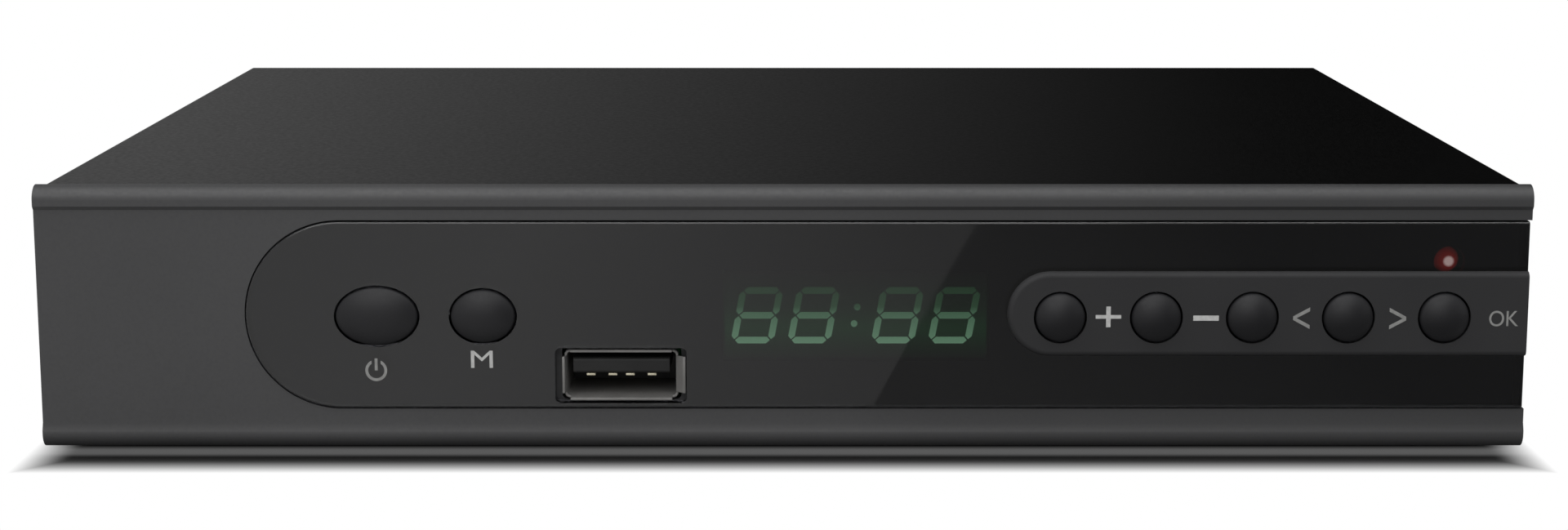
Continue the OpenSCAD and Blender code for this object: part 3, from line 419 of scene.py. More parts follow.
def display_face():
    """Dark display housing with a painted green glow from its segments, stronger low down."""
    made, tree, coordinates = new_tree("display_housing_abs")
    rise = height_in(tree, coordinates, "display_module")
    # Painted glow: the housing emits the green light that its segments would spill onto it, stronger low
    # down
    haze = add(tree, "ValToRGB", {"Fac": rise},
               [(0, "#061408"), (0.35, "#145026"), (0.6, "#0c3016"), (1, "#040804")])
    grain = add(tree, "TexNoise", {"Vector": coordinates, "Scale": per_mm(0.3), "Detail": 2})
    gloss = add(tree, "MapRange", {"Value": grain, "To Min": 0.5, "To Max": 0.62})
    bsdf = add(tree, "BsdfPrincipled", {"Base Color": srgb("#121412"), "Roughness": gloss,
                                        "Emission Color": haze, "Emission Strength": 1.6})
    add(tree, "OutputMaterial", {"Surface": bsdf})
    return made


def lit_red():
    """Red light: a pale hot middle in a red body that glows less towards its rim."""
    made, tree, coordinates = new_tree("red_light_epoxy")
    low, high = box_of("status_light")
    middle = (low + high) / 2 * MM
    centred = add(tree, "Mapping", {"Vector": coordinates, "Location": (-middle.x, 0, -middle.z),
                                    "Scale": (1, 0, 1)})
    reach = add(tree, "VectorMath", {0: centred}, operation="LENGTH").outputs["Value"]
    ring = add(tree, "MapRange", {"Value": reach, "From Max": (high.x - low.x) / 2 * MM})
    glow = add(tree, "ValToRGB", {"Fac": ring},
               [(0, "#ffdccf"), (0.28, "#ffdccf"), (0.46, "#8a2018"), (1, "#3a0806")])
    bsdf = add(tree, "BsdfPrincipled", {"Base Color": srgb("#8a1010"), "Roughness": 0.2,
                                        "Emission Color": glow, "Emission Strength": 2.7})
    add(tree, "OutputMaterial", {"Surface": bsdf})
    return made


def solder_mask():
    """Glass-epoxy board under green solder mask: paler over its copper tracks, which are drawn coarse."""
    made, tree, coordinates = new_tree("solder_mask_board")
    tracks = add(tree, "TexBrick", {
        "Vector": coordinates, "Scale": per_mm(4), "Mortar Size": 0.06, "Mortar Smooth": 0.2,
        "Color1": srgb("#1b5a34"), "Color2": srgb("#1f6239"), "Mortar": srgb("#3a8a55"),
    })
    fine = add(tree, "TexNoise", {"Vector": coordinates, "Scale": per_mm(0.5), "Detail": 2})
    gloss = add(tree, "MapRange", {"Value": fine, "To Min": 0.25, "To Max": 0.45})
    bsdf = add(tree, "BsdfPrincipled", {"Base Color": tracks, "Roughness": gloss})
    add(tree, "OutputMaterial", {"Surface": bsdf})
    return made


board_mask = solder_mask()
window_acrylic = smoked_acrylic()


# Front panel

panel_low, panel_high = box_of("front_panel")
lens_low, lens_high = box_of("front_lens")
strip_low, strip_high = box_of("key_strip")
power_low, power_high = box_of("power_button")
button_z = (power_low.z + power_high.z) / 2
face_set = 0.35
lip_depth = 1.8
backing = 1.0
lip_radius = 1.65
top_lip = 2.3
bottom_lip = 2.1
lip_fall = 0.45
lip_climb = 0.9
rim_step = 1.15
rim_wall = 1.6
window_gap = 0.12
film_gap = 0.05
button_gap = 0.22
flange_rim = 0.8
flange_depth = 0.8
rest_gap = 0.05
stem_size = 3
dome_rise = 1.15
dome_bulge = 0.72
dome_rings = 10
dome_flat = 0.4
cap_edge = 0.2
flange_edge = 0.1
panel_edge = 0.14
hole_edge = 0.08
display_fit = 0.3
window_edge = 0.3
strip_round = 0.68
socket_gap = 0.3
socket_side = 0.95
socket_rise = 0.35
socket_corner = 0.6
lip_y = panel_low.y
step_y = lip_y + lip_depth
wall_back = lens_high.y + backing
KEYS = ["plus", "minus", "left", "right", "ok"]
BUTTONS = ["power", "menu"] + KEYS


def bullet(name, left, right, low, high, front, back):
    """Plate with a half-round left end and a square right end."""
    piece = block(name, (left, front, low), (right, back, high))
    bevel(piece, along("y", x=left), (high - low) / 2 - HAIR, 24)
    weld(piece)
    return piece


def ellipse(name, middle_x, width, height, front, back):
    """Plate with an elliptical outline, or a round one where it is as wide as high."""
    piece = rod(name, (middle_x, front, button_z), (middle_x, back, button_z), height)
    resize(piece, lambda points: True, (width / height, 1, 1), (middle_x, 0, button_z))
    return piece


def button_size(button):
    """Middle, width and height of a button's cap, from its CAD node less its flange."""
    low, high = box_of(button + "_button")
    return (low.x + high.x) / 2, high.x - low.x - 2 * flange_rim, high.z - low.z - 2 * flange_rim


def button_tools(buttons, front, back):
    """Cutting tools for the holes round buttons."""
    tools = []
    for button in buttons:
        x, width, height = button_size(button)
        tools.append(ellipse("tool", x, width + 2 * button_gap, height + 2 * button_gap, front, back))
    return tools


def socket_tool(front, back, side, rise):
    """Cutting tool for the hole round the data socket, with rounded corners."""
    low, high = box_of("data_socket_shell")
    tool = block("tool", (low.x - side, front, low.z - rise), (high.x + side, back, high.z + rise))
    bevel(tool, along("y"), socket_corner, 5)
    return tool


def make_panel():
    """Moulded panel: lips above and below a set-back face, a pocket for the window, and a rim behind."""
    piece = block("panel_moulding", panel_low, (panel_high.x, step_y, panel_high.z))
    heights = [
        panel_low.z + bottom_lip, panel_low.z + bottom_lip + lip_climb,
        panel_high.z - top_lip - lip_fall, panel_high.z - top_lip,
    ]
    for z in heights:
        slice_at(piece, (0, 0, z), (0, 0, 1))
    move_points(piece, lambda p: at(y=lip_y)(p) and heights[1] - SLACK < p[0].z < heights[2] + SLACK,
                (0, face_set, 0))
    for z in (panel_low.z, panel_high.z):
        bevel(piece, along("x", y=lip_y, z=z), lip_radius, 10)
    extrude(piece, at(y=step_y), (0, panel_high.y - step_y, 0), rim_step)
    extrude(piece, at(y=panel_high.y), (0, wall_back - panel_high.y, 0), rim_wall)
    back = wall_back + HIDDEN_CUT
    cut(piece, [bullet("tool", lens_low.x - window_gap, panel_high.x + HIDDEN_CUT,
                       lens_low.z - window_gap, lens_high.z + window_gap,
                       lip_y - HIDDEN_CUT, lens_high.y)])
    cut(piece, button_tools(BUTTONS, lip_y, back) + [socket_tool(lip_y, back, socket_gap, socket_gap)])
    display_low, display_high = box_of("display_module")
    light_low, light_high = box_of("status_light")
    light = (light_low + light_high) / 2
    fit = display_fit
    cut(piece, [
        block("tool", (display_low.x - fit, lip_y, display_low.z - fit),
              (display_high.x + fit, back, display_high.z + fit)),
        rod("tool", (light.x, lip_y, light.z), (light.x, back, light.z),
            light_high.x - light_low.x + 2 * fit),
    ])
    soften(piece, panel_edge, 3)
    place(piece, "case", panel_abs, "panel_plastic", "front_panel")


def make_window():
    """Window plate with a fine bevel round its front edge, and holes for the buttons and the socket."""
    back = lens_high.y - film_gap
    piece = bullet("window_plate", lens_low.x, lens_high.x, lens_low.z, lens_high.z, lens_low.y, back)
    bevel(piece, lambda p: at(y=lens_low.y)(p) and not at(x=lens_high.x)(p), window_edge, 3)
    front = lip_y - HIDDEN_CUT
    hole = socket_tool(front, wall_back, socket_side, socket_rise)
    cut(piece, button_tools(BUTTONS, front, wall_back) + [hole])
    soften(piece, hole_edge, 2, 50)
    place(piece, "case", window_acrylic, "lens_gloss", "front_lens")


def make_strip():
    """Raised key strip with a rounded rim."""
    piece = bullet("key_strip_plate", strip_low.x, strip_high.x, strip_low.z, strip_high.z,
                   strip_low.y, strip_high.y)
    bevel(piece, lambda p: at(y=strip_low.y)(p) and not at(x=strip_high.x)(p), strip_round, 6)
    cut(piece, button_tools(KEYS, strip_low.y - HIDDEN_CUT, strip_high.y + HIDDEN_CUT))
    soften(piece, hole_edge, 2, 50)
    place(piece, "case", strip_abs, "strip_satin", "key_strip")


def make_button(button):
    """Cap with a domed front and a rounded edge, a flange behind the wall and a stem."""
    x, width, height = button_size(button)
    low, high = box_of(button + "_button")
    rim = low.y + dome_rise
    flange = wall_back + rest_gap
    stem = flange + flange_depth

    def dome_at(reach):
        """Depth of the dome at a share of the way out to its rim."""
        full = 1 - math.sqrt(1 - dome_bulge ** 2)
        return low.y + dome_rise * (1 - math.sqrt(1 - (dome_bulge * reach) ** 2)) / full

    piece = ellipse(button + "_cap", x, width, height, rim, flange)
    choose(piece, "FACE", at(y=rim))
    reach = 1
    for step in range(1, dome_rings + 1):
        inner = 1 - step / (dome_rings + dome_flat)
        rise = dome_at(inner) - dome_at(reach)
        bpy.ops.mesh.extrude_region_move(TRANSFORM_OT_translate={"value": (0, rise * MM, 0)})
        bpy.ops.transform.resize(value=(inner / reach, 1, inner / reach),
                                 center_override=Vector((x, dome_at(inner), button_z)) * MM)
        reach = inner
    leave()
    bevel(piece, at(y=rim), cap_edge, 3)
    smooth(piece, 40)
    collar = ellipse("collar", x, width + 2 * flange_rim, height + 2 * flange_rim, flange, stem)
    stalk = rod("stalk", (x, stem, button_z), (x, high.y, button_z), stem_size, 24)
    for part in (collar, stalk):
        soften(part, flange_edge)
    piece = join(button + "_cap", [piece, collar, stalk])
    place(piece, button + "_key", button_abs, "button_plastic", button + "_button")


make_panel()
make_window()
make_strip()
for button in BUTTONS:
    make_button(button)


# Printed marks on the window and the strip

ink_film = 0.03

# The reach of a weld, in a sign's own units before it is fitted
sign_weld = 0.0005

# Shares: the stroke and the bar of the power sign's size, and half the gap of its stroke
power_stroke = 0.13
power_bar = 0.56
power_gap = 1.6


def print_text(name, text, x, z, width, height, y, ink):
    """Printed sign of a given size: text made a mesh, then fitted and set on the front."""
    bpy.ops.object.select_all(action="DESELECT")
    bpy.ops.object.text_add(rotation=(math.pi / 2, 0, 0))
    sign = bpy.context.object
    sign.data.body = text
    sign.data.extrude = ink_film
    bpy.ops.object.convert(target="MESH")
    piece = settle(name)
    choose(piece, "VERT", lambda points: True)
    bpy.ops.mesh.remove_doubles(threshold=sign_weld)
    bpy.ops.mesh.normals_make_consistent(inside=False)
    leave()
    low = Vector(map(min, zip(*piece.bound_box)))
    high = Vector(map(max, zip(*piece.bound_box)))
    size = high - low
    piece.location = -(low + high) / 2
    bpy.ops.object.transform_apply(location=True)
    piece.scale = (width * MM / size.x, ink_film * MM / size.y, height * MM / size.z)
    piece.location = Vector((x, y - ink_film / 2, z)) * MM
    place(settle(name), "case", ink, None)


def print_power(x, z, size, y):
    """Printed power sign: a ring that is open at the top, and a bar in its gap."""
    stroke = size * power_stroke
    gap = stroke * power_gap
    front = y - ink_film
    before = front - HIDDEN_CUT
    behind = y + HIDDEN_CUT
    piece = rod("power_mark", (x, front, z), (x, y, z), size, 48)
    cut(piece, [rod("tool", (x, before, z), (x, behind, z), size - 2 * stroke, 48)])
    cut(piece, [block("tool", (x - gap, before, z), (x + gap, behind, z + size))])
    bar = block("bar", (x - stroke / 2, front, z), (x + stroke / 2, y, z + size * power_bar))
    place(join("power_mark", [piece, bar]), "case", thin_ink, None)


# Each key's sign, its place across, its rise over the key's middle, its width, height and ink
signs = [
    ("plus", "+", 37, 0.1, 2.9, 2.4, print_ink),
    ("minus", "-", 48.1, -0.05, 2.9, 0.6, print_ink),
    ("left", "<", 58.95, -0.05, 1.9, 2.5, thin_ink),
    ("right", ">", 69.9, -0.1, 1.9, 2.5, thin_ink),
    ("ok", "OK", 81.95, -0.1, 3.3, 1.8, thin_ink),
]
for key, text, x, rise, width, height, ink in signs:
    print_text(key + "_mark", text, x, button_z + rise, width, height, strip_low.y, ink)

# The two signs on the window: each has its place across and up, then its size
menu_sign = (-34.4, 12.5, 2.5, 2.0)
power_sign = (-46.5, 11.2, 2.5)
print_text("menu_mark", "M", *menu_sign, lens_low.y, print_ink)
print_power(*power_sign, lens_low.y)


# Case

sheet = 0.8
sheet_bend = 1.0
rear_lip = 6.5
side_wall = 9
vent_count = 13
vent_pitch = 4.5
vent_width = 1.6
vent_height = 11
vent_rise = 1.5
floor_vent = 26
vent_flat = 0.1
sheet_edge = 0.08
wall_gap = 0.15
through = 2
screw_head = 5
screw_shank = 2.6
screw_length = 6
screw_play = 0.5
head_round = 0.6
tip_chamfer = 0.5
screw_edge = 0.06
cross_width = 0.7
cross_depth = 0.8
cover_head_rise = 1.6
panel_head_rise = 1.1
foot_size = 11
foot_taper = 1
foot_rim = 1.6
foot_hollow = 0.5
foot_round = 0.3
port_gap = 0.4
cover_low, cover_high = box_of("top_cover")
chassis_low, chassis_high = box_of("bottom_chassis")
rear_y = cover_high.y


def row(middle, pitch, count):
    """Places at an even pitch about a middle."""
    return [middle + pitch * (i - (count - 1) / 2) for i in range(count)]


def cover_screw_places():
    """Middles of the three cover screws across the rear wall, and their height."""
    low, high = box_of("cover_screws")
    head = high.z - low.z
    return row((low.x + high.x) / 2, (high.x - low.x - head) / 2, 3), (low.z + high.z) / 2


def fold(piece):
    """Gives a folded sheet its thickness, inwards from its outer face."""
    modify(piece, "SOLIDIFY", thickness=sheet * MM, offset=-1, use_even_offset=True)


def vent_tool(low, high, axis):
    """Cutting tool for a vent slot with round ends, through a sheet along an axis."""
    tool = block("tool", low, high)
    bevel(tool, along(axis), (vent_width - vent_flat) / 2, 5)
    return tool


def make_cover():
    """Folded steel cover: rounded bends, a rear lip with screw holes, and vents in both sides."""
    low, high = cover_low, cover_high
    lip_z = high.z - rear_lip
    piece = block("cover_sheet", low, high)
    slice_at(piece, (0, 0, lip_z), (0, 0, 1))
    bevel(piece, lambda p: at(z=high.z)(p) and not at(y=low.y)(p), sheet_bend, 5)
    drop_faces(piece, at(z=low.z))
    drop_faces(piece, at(y=low.y))
    drop_faces(piece, lambda p: at(y=high.y)(p) and all(q.z < lip_z + SLACK for q in p))
    fold(piece)
    vent_z = low.z + side_wall + vent_rise
    tools = []
    for y in row((low.y + high.y) / 2, vent_pitch, vent_count):
        tools.append(vent_tool((low.x - HIDDEN_CUT, y - vent_width / 2, vent_z),
                               (high.x + HIDDEN_CUT, y + vent_width / 2, vent_z + vent_height), "x"))
    xs, z = cover_screw_places()
    for x in xs:
        tools.append(rod("tool", (x, high.y - through, z), (x, high.y + HIDDEN_CUT, z),
                         screw_shank + screw_play, 32))
    cut(piece, tools)
    soften(piece, sheet_edge)
    place(piece, "case", powder_coat, "cover_paint", "top_cover")


def port(node, gap=port_gap):
    """Round cutting tool through the rear wall, round a socket's CAD node."""
    low, high = box_of(node)
    middle = (low + high) / 2
    start = chassis_high.y - through
    end = chassis_high.y + HIDDEN_CUT
    return rod("tool", (middle.x, start, middle.z), (middle.x, end, middle.z),
               high.z - low.z + 2 * gap)


def make_chassis():
    """Folded steel chassis: a floor with vents, low side walls, a rear wall with the socket holes."""
    low, high = chassis_low, chassis_high
    wall_z = low.z + side_wall
    wall_y = panel_high.y + wall_gap
    piece = block("chassis_sheet", low, high)
    slice_at(piece, (0, 0, wall_z), (0, 0, 1))
    slice_at(piece, (0, wall_y, 0), (0, 1, 0))
    bevel(piece, lambda p: at(z=low.z)(p) and not (at(y=low.y)(p) or at(y=wall_y)(p)), sheet_bend, 5)
    drop_faces(piece, at(z=high.z))
    drop_faces(piece, at(y=low.y))
    drop_faces(piece, lambda p: (at(x=low.x)(p) or at(x=high.x)(p))
               and all(q.z > wall_z - SLACK for q in p))
    drop_faces(piece, lambda p: all(q.y < wall_y + SLACK for q in p)
               and any(q.z > low.z + SLACK for q in p))
    fold(piece)
    video_low, video_high = box_of("video_socket_shell")
    tools = [
        port("aerial_in_shell"), port("aerial_out_shell"),
        port("red_insert"), port("white_insert"), port("yellow_insert"),
        port("power_inlet_pin", (inlet_nose - inlet_pin) / 2 + port_gap),
        block("tool", (video_low.x - port_gap, high.y - through, video_low.z - port_gap),
              (video_high.x + port_gap, high.y + HIDDEN_CUT, video_high.z + port_gap)),
    ]
    sink_low, sink_high = box_of("heat_sink")
    sink = (sink_low + sink_high) / 2
    for x in row(sink.x, vent_pitch, vent_count):
        tools.append(vent_tool((x - vent_width / 2, sink.y - floor_vent / 2, low.z - HIDDEN_CUT),
                               (x + vent_width / 2, sink.y + floor_vent / 2, low.z + through), "z"))
    cut(piece, tools)
    soften(piece, sheet_edge)
    place(piece, "case", matt_coat, "chassis_paint", "bottom_chassis")


def make_feet():
    """Rubber feet: tapered discs with a rounded rim and a hollow underside."""
    low, high = box_of("rubber_feet")
    size = foot_size
    taper = (size - foot_taper) / size
    corner = Vector((low.x + size / 2, low.y + size / 2, 0))
    foot = rod("foot", (corner.x, corner.y, high.z), (corner.x, corner.y, low.z), size, 48)
    resize(foot, at(z=low.z), (taper, taper, 1), corner)
    extrude(foot, at(z=low.z), (0, 0, foot_hollow), foot_rim)
    soften(foot, foot_round, 3)
    reach_x = high.x - low.x - size
    reach_y = high.y - low.y - size
    piece = copy_at(foot, [(x, y, 0) for x in (0, reach_x) for y in (0, reach_y)], "foot_set")
    place(piece, "case", foot_rubber, "foot_rubber", "rubber_feet")


def make_screws(name, node, seat, out, rise, moves):
    """Pan-head screws with a cross recess: one modelled on its seat, then copied."""
    seat = Vector(seat)
    out = Vector(out)
    side = Vector((1, 0, 0))
    up = out.cross(side)
    top = seat + out * rise
    tip = seat - out * screw_length
    axis = "y" if out.y else "z"
    screw = rod("screw", seat, top, screw_head, 40)
    extrude(screw, at(**{axis: getattr(seat, axis)}), tip - seat, (screw_head - screw_shank) / 2)
    bevel(screw, at(**{axis: getattr(top, axis)}), head_round, 4)
    bevel(screw, at(**{axis: getattr(tip, axis)}), tip_chamfer, 1)
    for long, short in ((side, up), (up, side)):
        corner = long * screw_head / 3 + short * cross_width / 2
        cut(screw, [block("tool", top - corner - out * cross_depth, top + corner + out)])
    soften(screw, screw_edge)
    place(copy_at(screw, moves, name), "case", oxide_steel, "black_screw", node)


def make_case_screws():
    """Screws that hold the cover to the rear wall, and the panel to the floor."""
    xs, z = cover_screw_places()
    make_screws("cover_screw_set", "cover_screws", (xs[0], rear_y, z), (0, 1, 0),
                cover_head_rise, [(x - xs[0], 0, 0) for x in xs])
    low, high = box_of("panel_screws")
    head = high.y - low.y
    first = (low.x + head / 2, (low.y + high.y) / 2, chassis_low.z)
    make_screws("panel_screw_set", "panel_screws", first, (0, 0, -1), panel_head_rise,
                [(0, 0, 0), (high.x - low.x - head, 0, 0)])


# Data socket at the front

shell_wall = 0.3
shell_corner = 0.7
shell_back = 1.0
lip_run = 0.8
lip_flares = [("x", -1, 0.2), ("x", 1, 0.85), ("z", -1, 0.1), ("z", 1, 0.1)]
shell_edge = 0.07
tongue_thick = 1.84
tongue_width = 11.1
tongue_nose = 0.4
tongue_edge = 0.08
block_fit = 0.02
block_back = 1.1
contact_width = 1
contact_nose = 0.12
contact_edge = 0.03
contact_steps = [0, 2.5, 4.5, 7]


def make_data_shell():
    """Drawn shell with round corners, and four lips that flare out round its mouth."""
    low, high = box_of("data_socket_shell")
    centre = (low + high) / 2
    half = (high - low) / 2
    mouth = low.y + lip_run
    shell = block("data_shell", (low.x, mouth, low.z), high)
    bevel(shell, along("y"), shell_corner, 4)
    extrude(shell, at(y=mouth), (0, high.y - mouth - shell_back, 0), shell_wall)

    def straight(points):
        """Test for the faces round the mouth, between its corners."""
        across = all(abs(p.x - centre.x) < half.x - shell_corner + SLACK for p in points)
        upright = all(abs(p.z - centre.z) < half.z - shell_corner + SLACK for p in points)
        return at(y=mouth)(points) and (across or upright)

    def lip_end(axis, side):
        """Test for the points at the end of one lip."""
        middle = getattr(centre, axis)
        reach = getattr(half, axis) - shell_wall - SLACK
        return lambda p: at(y=low.y)(p) and side * (getattr(p[0], axis) - middle) > reach

    extrude(shell, straight, (0, -lip_run, 0))
    for axis, side, flare in lip_flares:
        move = Vector((0, 0, 0))
        setattr(move, axis, side * flare)
        move_points(shell, lip_end(axis, side), move)
    soften(shell, shell_edge)
    place(shell, "case", shell_nickel_painted_shade, "socket_nickel", "data_socket_shell")


def make_data_socket():
    """Tongue on its back block, and four contacts."""
    low, high = box_of("data_socket_shell")
    contact_low, contact_high = box_of("data_socket_contacts")
    tongue_low, tongue_high = box_of("data_socket_tongue")
    middle = (tongue_low.x + tongue_high.x) / 2
    foot = contact_high.z
    tongue = block("tongue", (middle - tongue_width / 2, tongue_low.y, foot),
                   (middle + tongue_width / 2, contact_high.y, foot + tongue_thick))
    bevel(tongue, along("x", y=tongue_low.y), tongue_nose, 3)
    rise = shell_wall + block_fit
    back = block("back", (tongue_low.x + block_fit, contact_high.y, low.z + rise),
                 (tongue_high.x - block_fit, tongue_high.y - block_back, high.z - rise))
    for part in (tongue, back):
        soften(part, tongue_edge)
    piece = join("data_tongue", [tongue, back])
    place(piece, "case", tongue_nylon_painted_lighter, "socket_black", "data_socket_tongue")
    contact = block("contact", contact_low,
                    (contact_low.x + contact_width, contact_high.y, contact_high.z))
    bevel(contact, along("x", y=contact_low.y, z=contact_low.z), contact_nose, 2)
    soften(contact, contact_edge)
    contacts = copy_at(contact, [(step, 0, 0) for step in contact_steps], "data_contacts")
    place(contacts, "case", pale_gold, "contact_gold", "data_socket_contacts")


# Sockets in the rear wall

inlet_nose = 8
inlet_bore = 5.8
inlet_pin = 2
aerial_in_size = 11.2
aerial_in_wall = 0.8
aerial_out_size = 9.5
aerial_out_wall = 0.6
aerial_pin = 2.4
bore_sink = 0.8
bush_depth = 1.2
bush_fit = 0.1
bush_set = 0.5
in_bush_bore = 6.4
out_bush_bore = 4.4
clip_size = 4.4
clip_wall = 1
clip_depth = 7
clip_cut = 5
clip_slit = 0.35
video_wall = 0.5
video_chamfer = 1.9
video_back = 1
video_tongue = 10.8
video_thick = 1
video_reach = 8.2
sleeve_size = 8.3
sleeve_wall = 0.6
sleeve_back = 1
collar_size = 11.6
collar_rise = 1.4
collar_bore = 2.5
jack_bore = 3.4
jack_depth = 7
jack_fit = 0.2
out_pin_round = 0.9
inlet_pin_round = 0.6
pin_sink = 0.1
video_corner = 0.4
video_nose = 0.3
video_side = 1.6
video_fit = 0.05
video_seat = 0.1
video_lap = 0.2
inlet_back = 1
inlet_seat = 0.5
wall_fit = 0.3
pin_edge = 0.05
thin_edge = 0.12
tube_edge = 0.2
nose_edge = 0.25
collar_edge = 0.3
body_edge = 0.4


def turned(name, place_at, start, end, diameter, bore, depth, edge=0.15):
    """Round piece along Y with rounded edges, and a blind bore from its rear end."""
    x, z = place_at
    piece = rod(name, (x, start, z), (x, end, z), diameter)
    extrude(piece, at(y=end), (0, -depth, 0), (diameter - bore) / 2)
    soften(piece, edge, 3)
    return piece


def spot(node):
    """Middle of a CAD node across and up, and its front and rear ends."""
    low, high = box_of(node)
    return ((low.x + high.x) / 2, (low.z + high.z) / 2), low.y, high.y


def aerial_tube(side, size, wall, bush_bore, edge):
    """Shell of an aerial socket, and the bush in its mouth."""
    node = "aerial_" + side + "_shell"
    middle, front, end = spot(node)
    bore = size - 2 * wall
    depth = end - rear_y + bore_sink
    tube = turned("aerial_" + side + "_tube", middle, front, end, size, bore, depth, edge)
    place(tube, "case", nickel, "socket_nickel", node)
    return turned("bush", middle, rear_y - bush_depth, rear_y, bore - bush_fit, bush_bore, bush_set)


def make_aerials():
    """Aerial sockets: an inlet with a slit clip, an outlet with a pin, and their white bushes."""
    inner = aerial_tube("in", aerial_in_size, aerial_in_wall, in_bush_bore, nose_edge)
    (x, z), front = spot("aerial_in_shell")[:2]
    tip = spot("aerial_in_contact")[2]
    clip = rod("aerial_in_clip", (x, front, z), (x, tip, z), clip_size)
    extrude(clip, at(y=tip), (0, -clip_depth, 0), clip_wall)
    cut(clip, [block("tool", (x - clip_size, tip - clip_cut, z - clip_slit / 2),
                     (x + clip_size, tip + HIDDEN_CUT, z + clip_slit / 2))])
    soften(clip, thin_edge)
    place(clip, "case", gold, "contact_gold", "aerial_in_contact")
    outer = aerial_tube("out", aerial_out_size, aerial_out_wall, out_bush_bore, tube_edge)
    bushes = join("aerial_bushes", [inner, outer])
    place(bushes, "case", insert_white, "insulator_white", "aerial_insulators")
    (x, z), front = spot("aerial_out_shell")[:2]
    tip = spot("aerial_out_pin")[2]
    pin = rod("aerial_out_rod", (x, front, z), (x, tip, z), aerial_pin, 32)
    bevel(pin, at(y=tip), out_pin_round, 5)
    soften(pin, pin_edge)
    place(pin, "case", gold, "contact_gold", "aerial_out_pin")


def make_video_socket():
    """Video socket: a shell with cut lower corners, and a flat tongue."""
    low, high = box_of("video_socket_shell")
    shell = block("video_shell", low, high)
    bevel(shell, along("y", z=low.z), video_chamfer, 1)
    bevel(shell, along("y", z=high.z), video_corner, 3)
    extrude(shell, at(y=high.y), (0, low.y - high.y + video_back, 0), video_wall)
    soften(shell, thin_edge, 2, 25)
    place(shell, "case", nickel, "socket_nickel", "video_socket_shell")
    (x, z), front, end = spot("video_socket_tongue")
    tongue = block("tongue", (x - video_tongue / 2, high.y - video_reach, z - video_thick / 2),
                   (x + video_tongue / 2, end, z + video_thick / 2))
    bevel(tongue, along("x", y=end), video_nose, 3)
    side = video_wall + video_side
    rise = video_wall + video_fit
    back = block("back", (low.x + side, front + video_back + video_seat, low.z + rise),
                 (high.x - side, high.y - video_reach + video_lap, high.z - rise))
    for part in (tongue, back):
        soften(part, tongue_edge)
    piece = join("video_tongue", [tongue, back])
    place(piece, "case", socket_black, "socket_black", "video_socket_tongue")


def make_jacks():
    """Audio and video jacks: plated sleeves, each round a coloured bush and in a coloured collar."""
    low, high = box_of("jack_sleeves")
    bore = sleeve_size - 2 * sleeve_wall
    colours = [
        ("red", insert_red, "insert_red"),
        ("white", insert_white, "insulator_white"),
        ("yellow", insert_yellow, "insert_yellow"),
    ]
    for colour, finish, slot in colours:
        middle, front, end = spot(colour + "_insert")
        collar = turned("collar", middle, front, rear_y + collar_rise, collar_size,
                        sleeve_size + jack_fit, collar_bore, collar_edge)
        bush = turned("bush", middle, front, end, bore - jack_fit, jack_bore, jack_depth, tube_edge)
        place(join(colour + "_bush", [collar, bush]), "case", finish, slot, colour + "_insert")
    first = (low.x + sleeve_size / 2, (low.z + high.z) / 2)
    depth = high.y - low.y - sleeve_back
    tube = turned("tube", first, low.y, high.y, sleeve_size, bore, depth, tube_edge)
    pitch = (high.x - low.x - sleeve_size) / 2
    tubes = copy_at(tube, [(pitch * i, 0, 0) for i in range(3)], "jack_tubes")
    place(tubes, "case", nickel, "socket_nickel", "jack_sleeves")


def make_inlet():
    """Power inlet: a moulded block with a round nose, a deep bore and a pin."""
    low, high = box_of("power_inlet")
    (x, z), pin_front, pin_end = spot("power_inlet_pin")
    depth = high.y - pin_front
    nose = turned("nose", (x, z), low.y + inlet_back, high.y, inlet_nose, inlet_bore, depth, nose_edge)
    body = block("body", low, (high.x, chassis_high.y - sheet - wall_fit, high.z))
    soften(body, body_edge, 3)
    cut(body, [rod("tool", (x, low.y + inlet_seat, z), (x, high.y, z), inlet_nose + block_fit)])
    place(join("inlet_housing", [nose, body]), "case", socket_black, "socket_black", "power_inlet")
    pin = rod("inlet_rod", (x, pin_front - pin_sink, z), (x, pin_end, z), inlet_pin, 32)
    bevel(pin, at(y=pin_end), inlet_pin_round, 4)
    soften(pin, pin_edge)
    place(pin, "case", nickel, "socket_nickel", "power_inlet_pin")


make_cover()
make_chassis()
make_feet()
make_case_screws()
make_data_shell()
make_data_socket()
make_aerials()
make_video_socket()
make_jacks()
make_inlet()


# Camera: the photograph's viewing angle, fitted to the case's corners

camera_place = Vector((0.12, -351.3, 79.1))
camera_tilt = 9.2
camera_lens = 59.22
camera_fall = 0.05
bpy.ops.object.select_all(action="DESELECT")
bpy.ops.object.camera_add(location=camera_place * MM, rotation=(math.radians(90 - camera_tilt), 0, 0))
camera = bpy.context.object
camera.data.lens = camera_lens
camera.data.sensor_width = 36
camera.data.shift_y = -camera_fall
camera.data.clip_start = 0.01
bpy.context.scene.camera = camera
bpy.context.scene.view_settings.view_transform = "Standard"


# Studio

WHITE = (1, 1, 1, 1)
SKY_FILL = 0.35
CARD_LIFT = 0.5
PAINTED_STREAK = 0.1
floor_reach = 3000
# Painted shade on the floor round the case: where it starts inside the panel's outline and where the
# floor turns white outside it
shade_start = -2.4
shade_end = 3.3
# Painted shade in reflections: reflections see the floor white only past mirror_end from the case, and
# its level falls from left to right
mirror_end = 14.6
mirror_left = (-45, 0.94)
mirror_right = (25, 0.56)
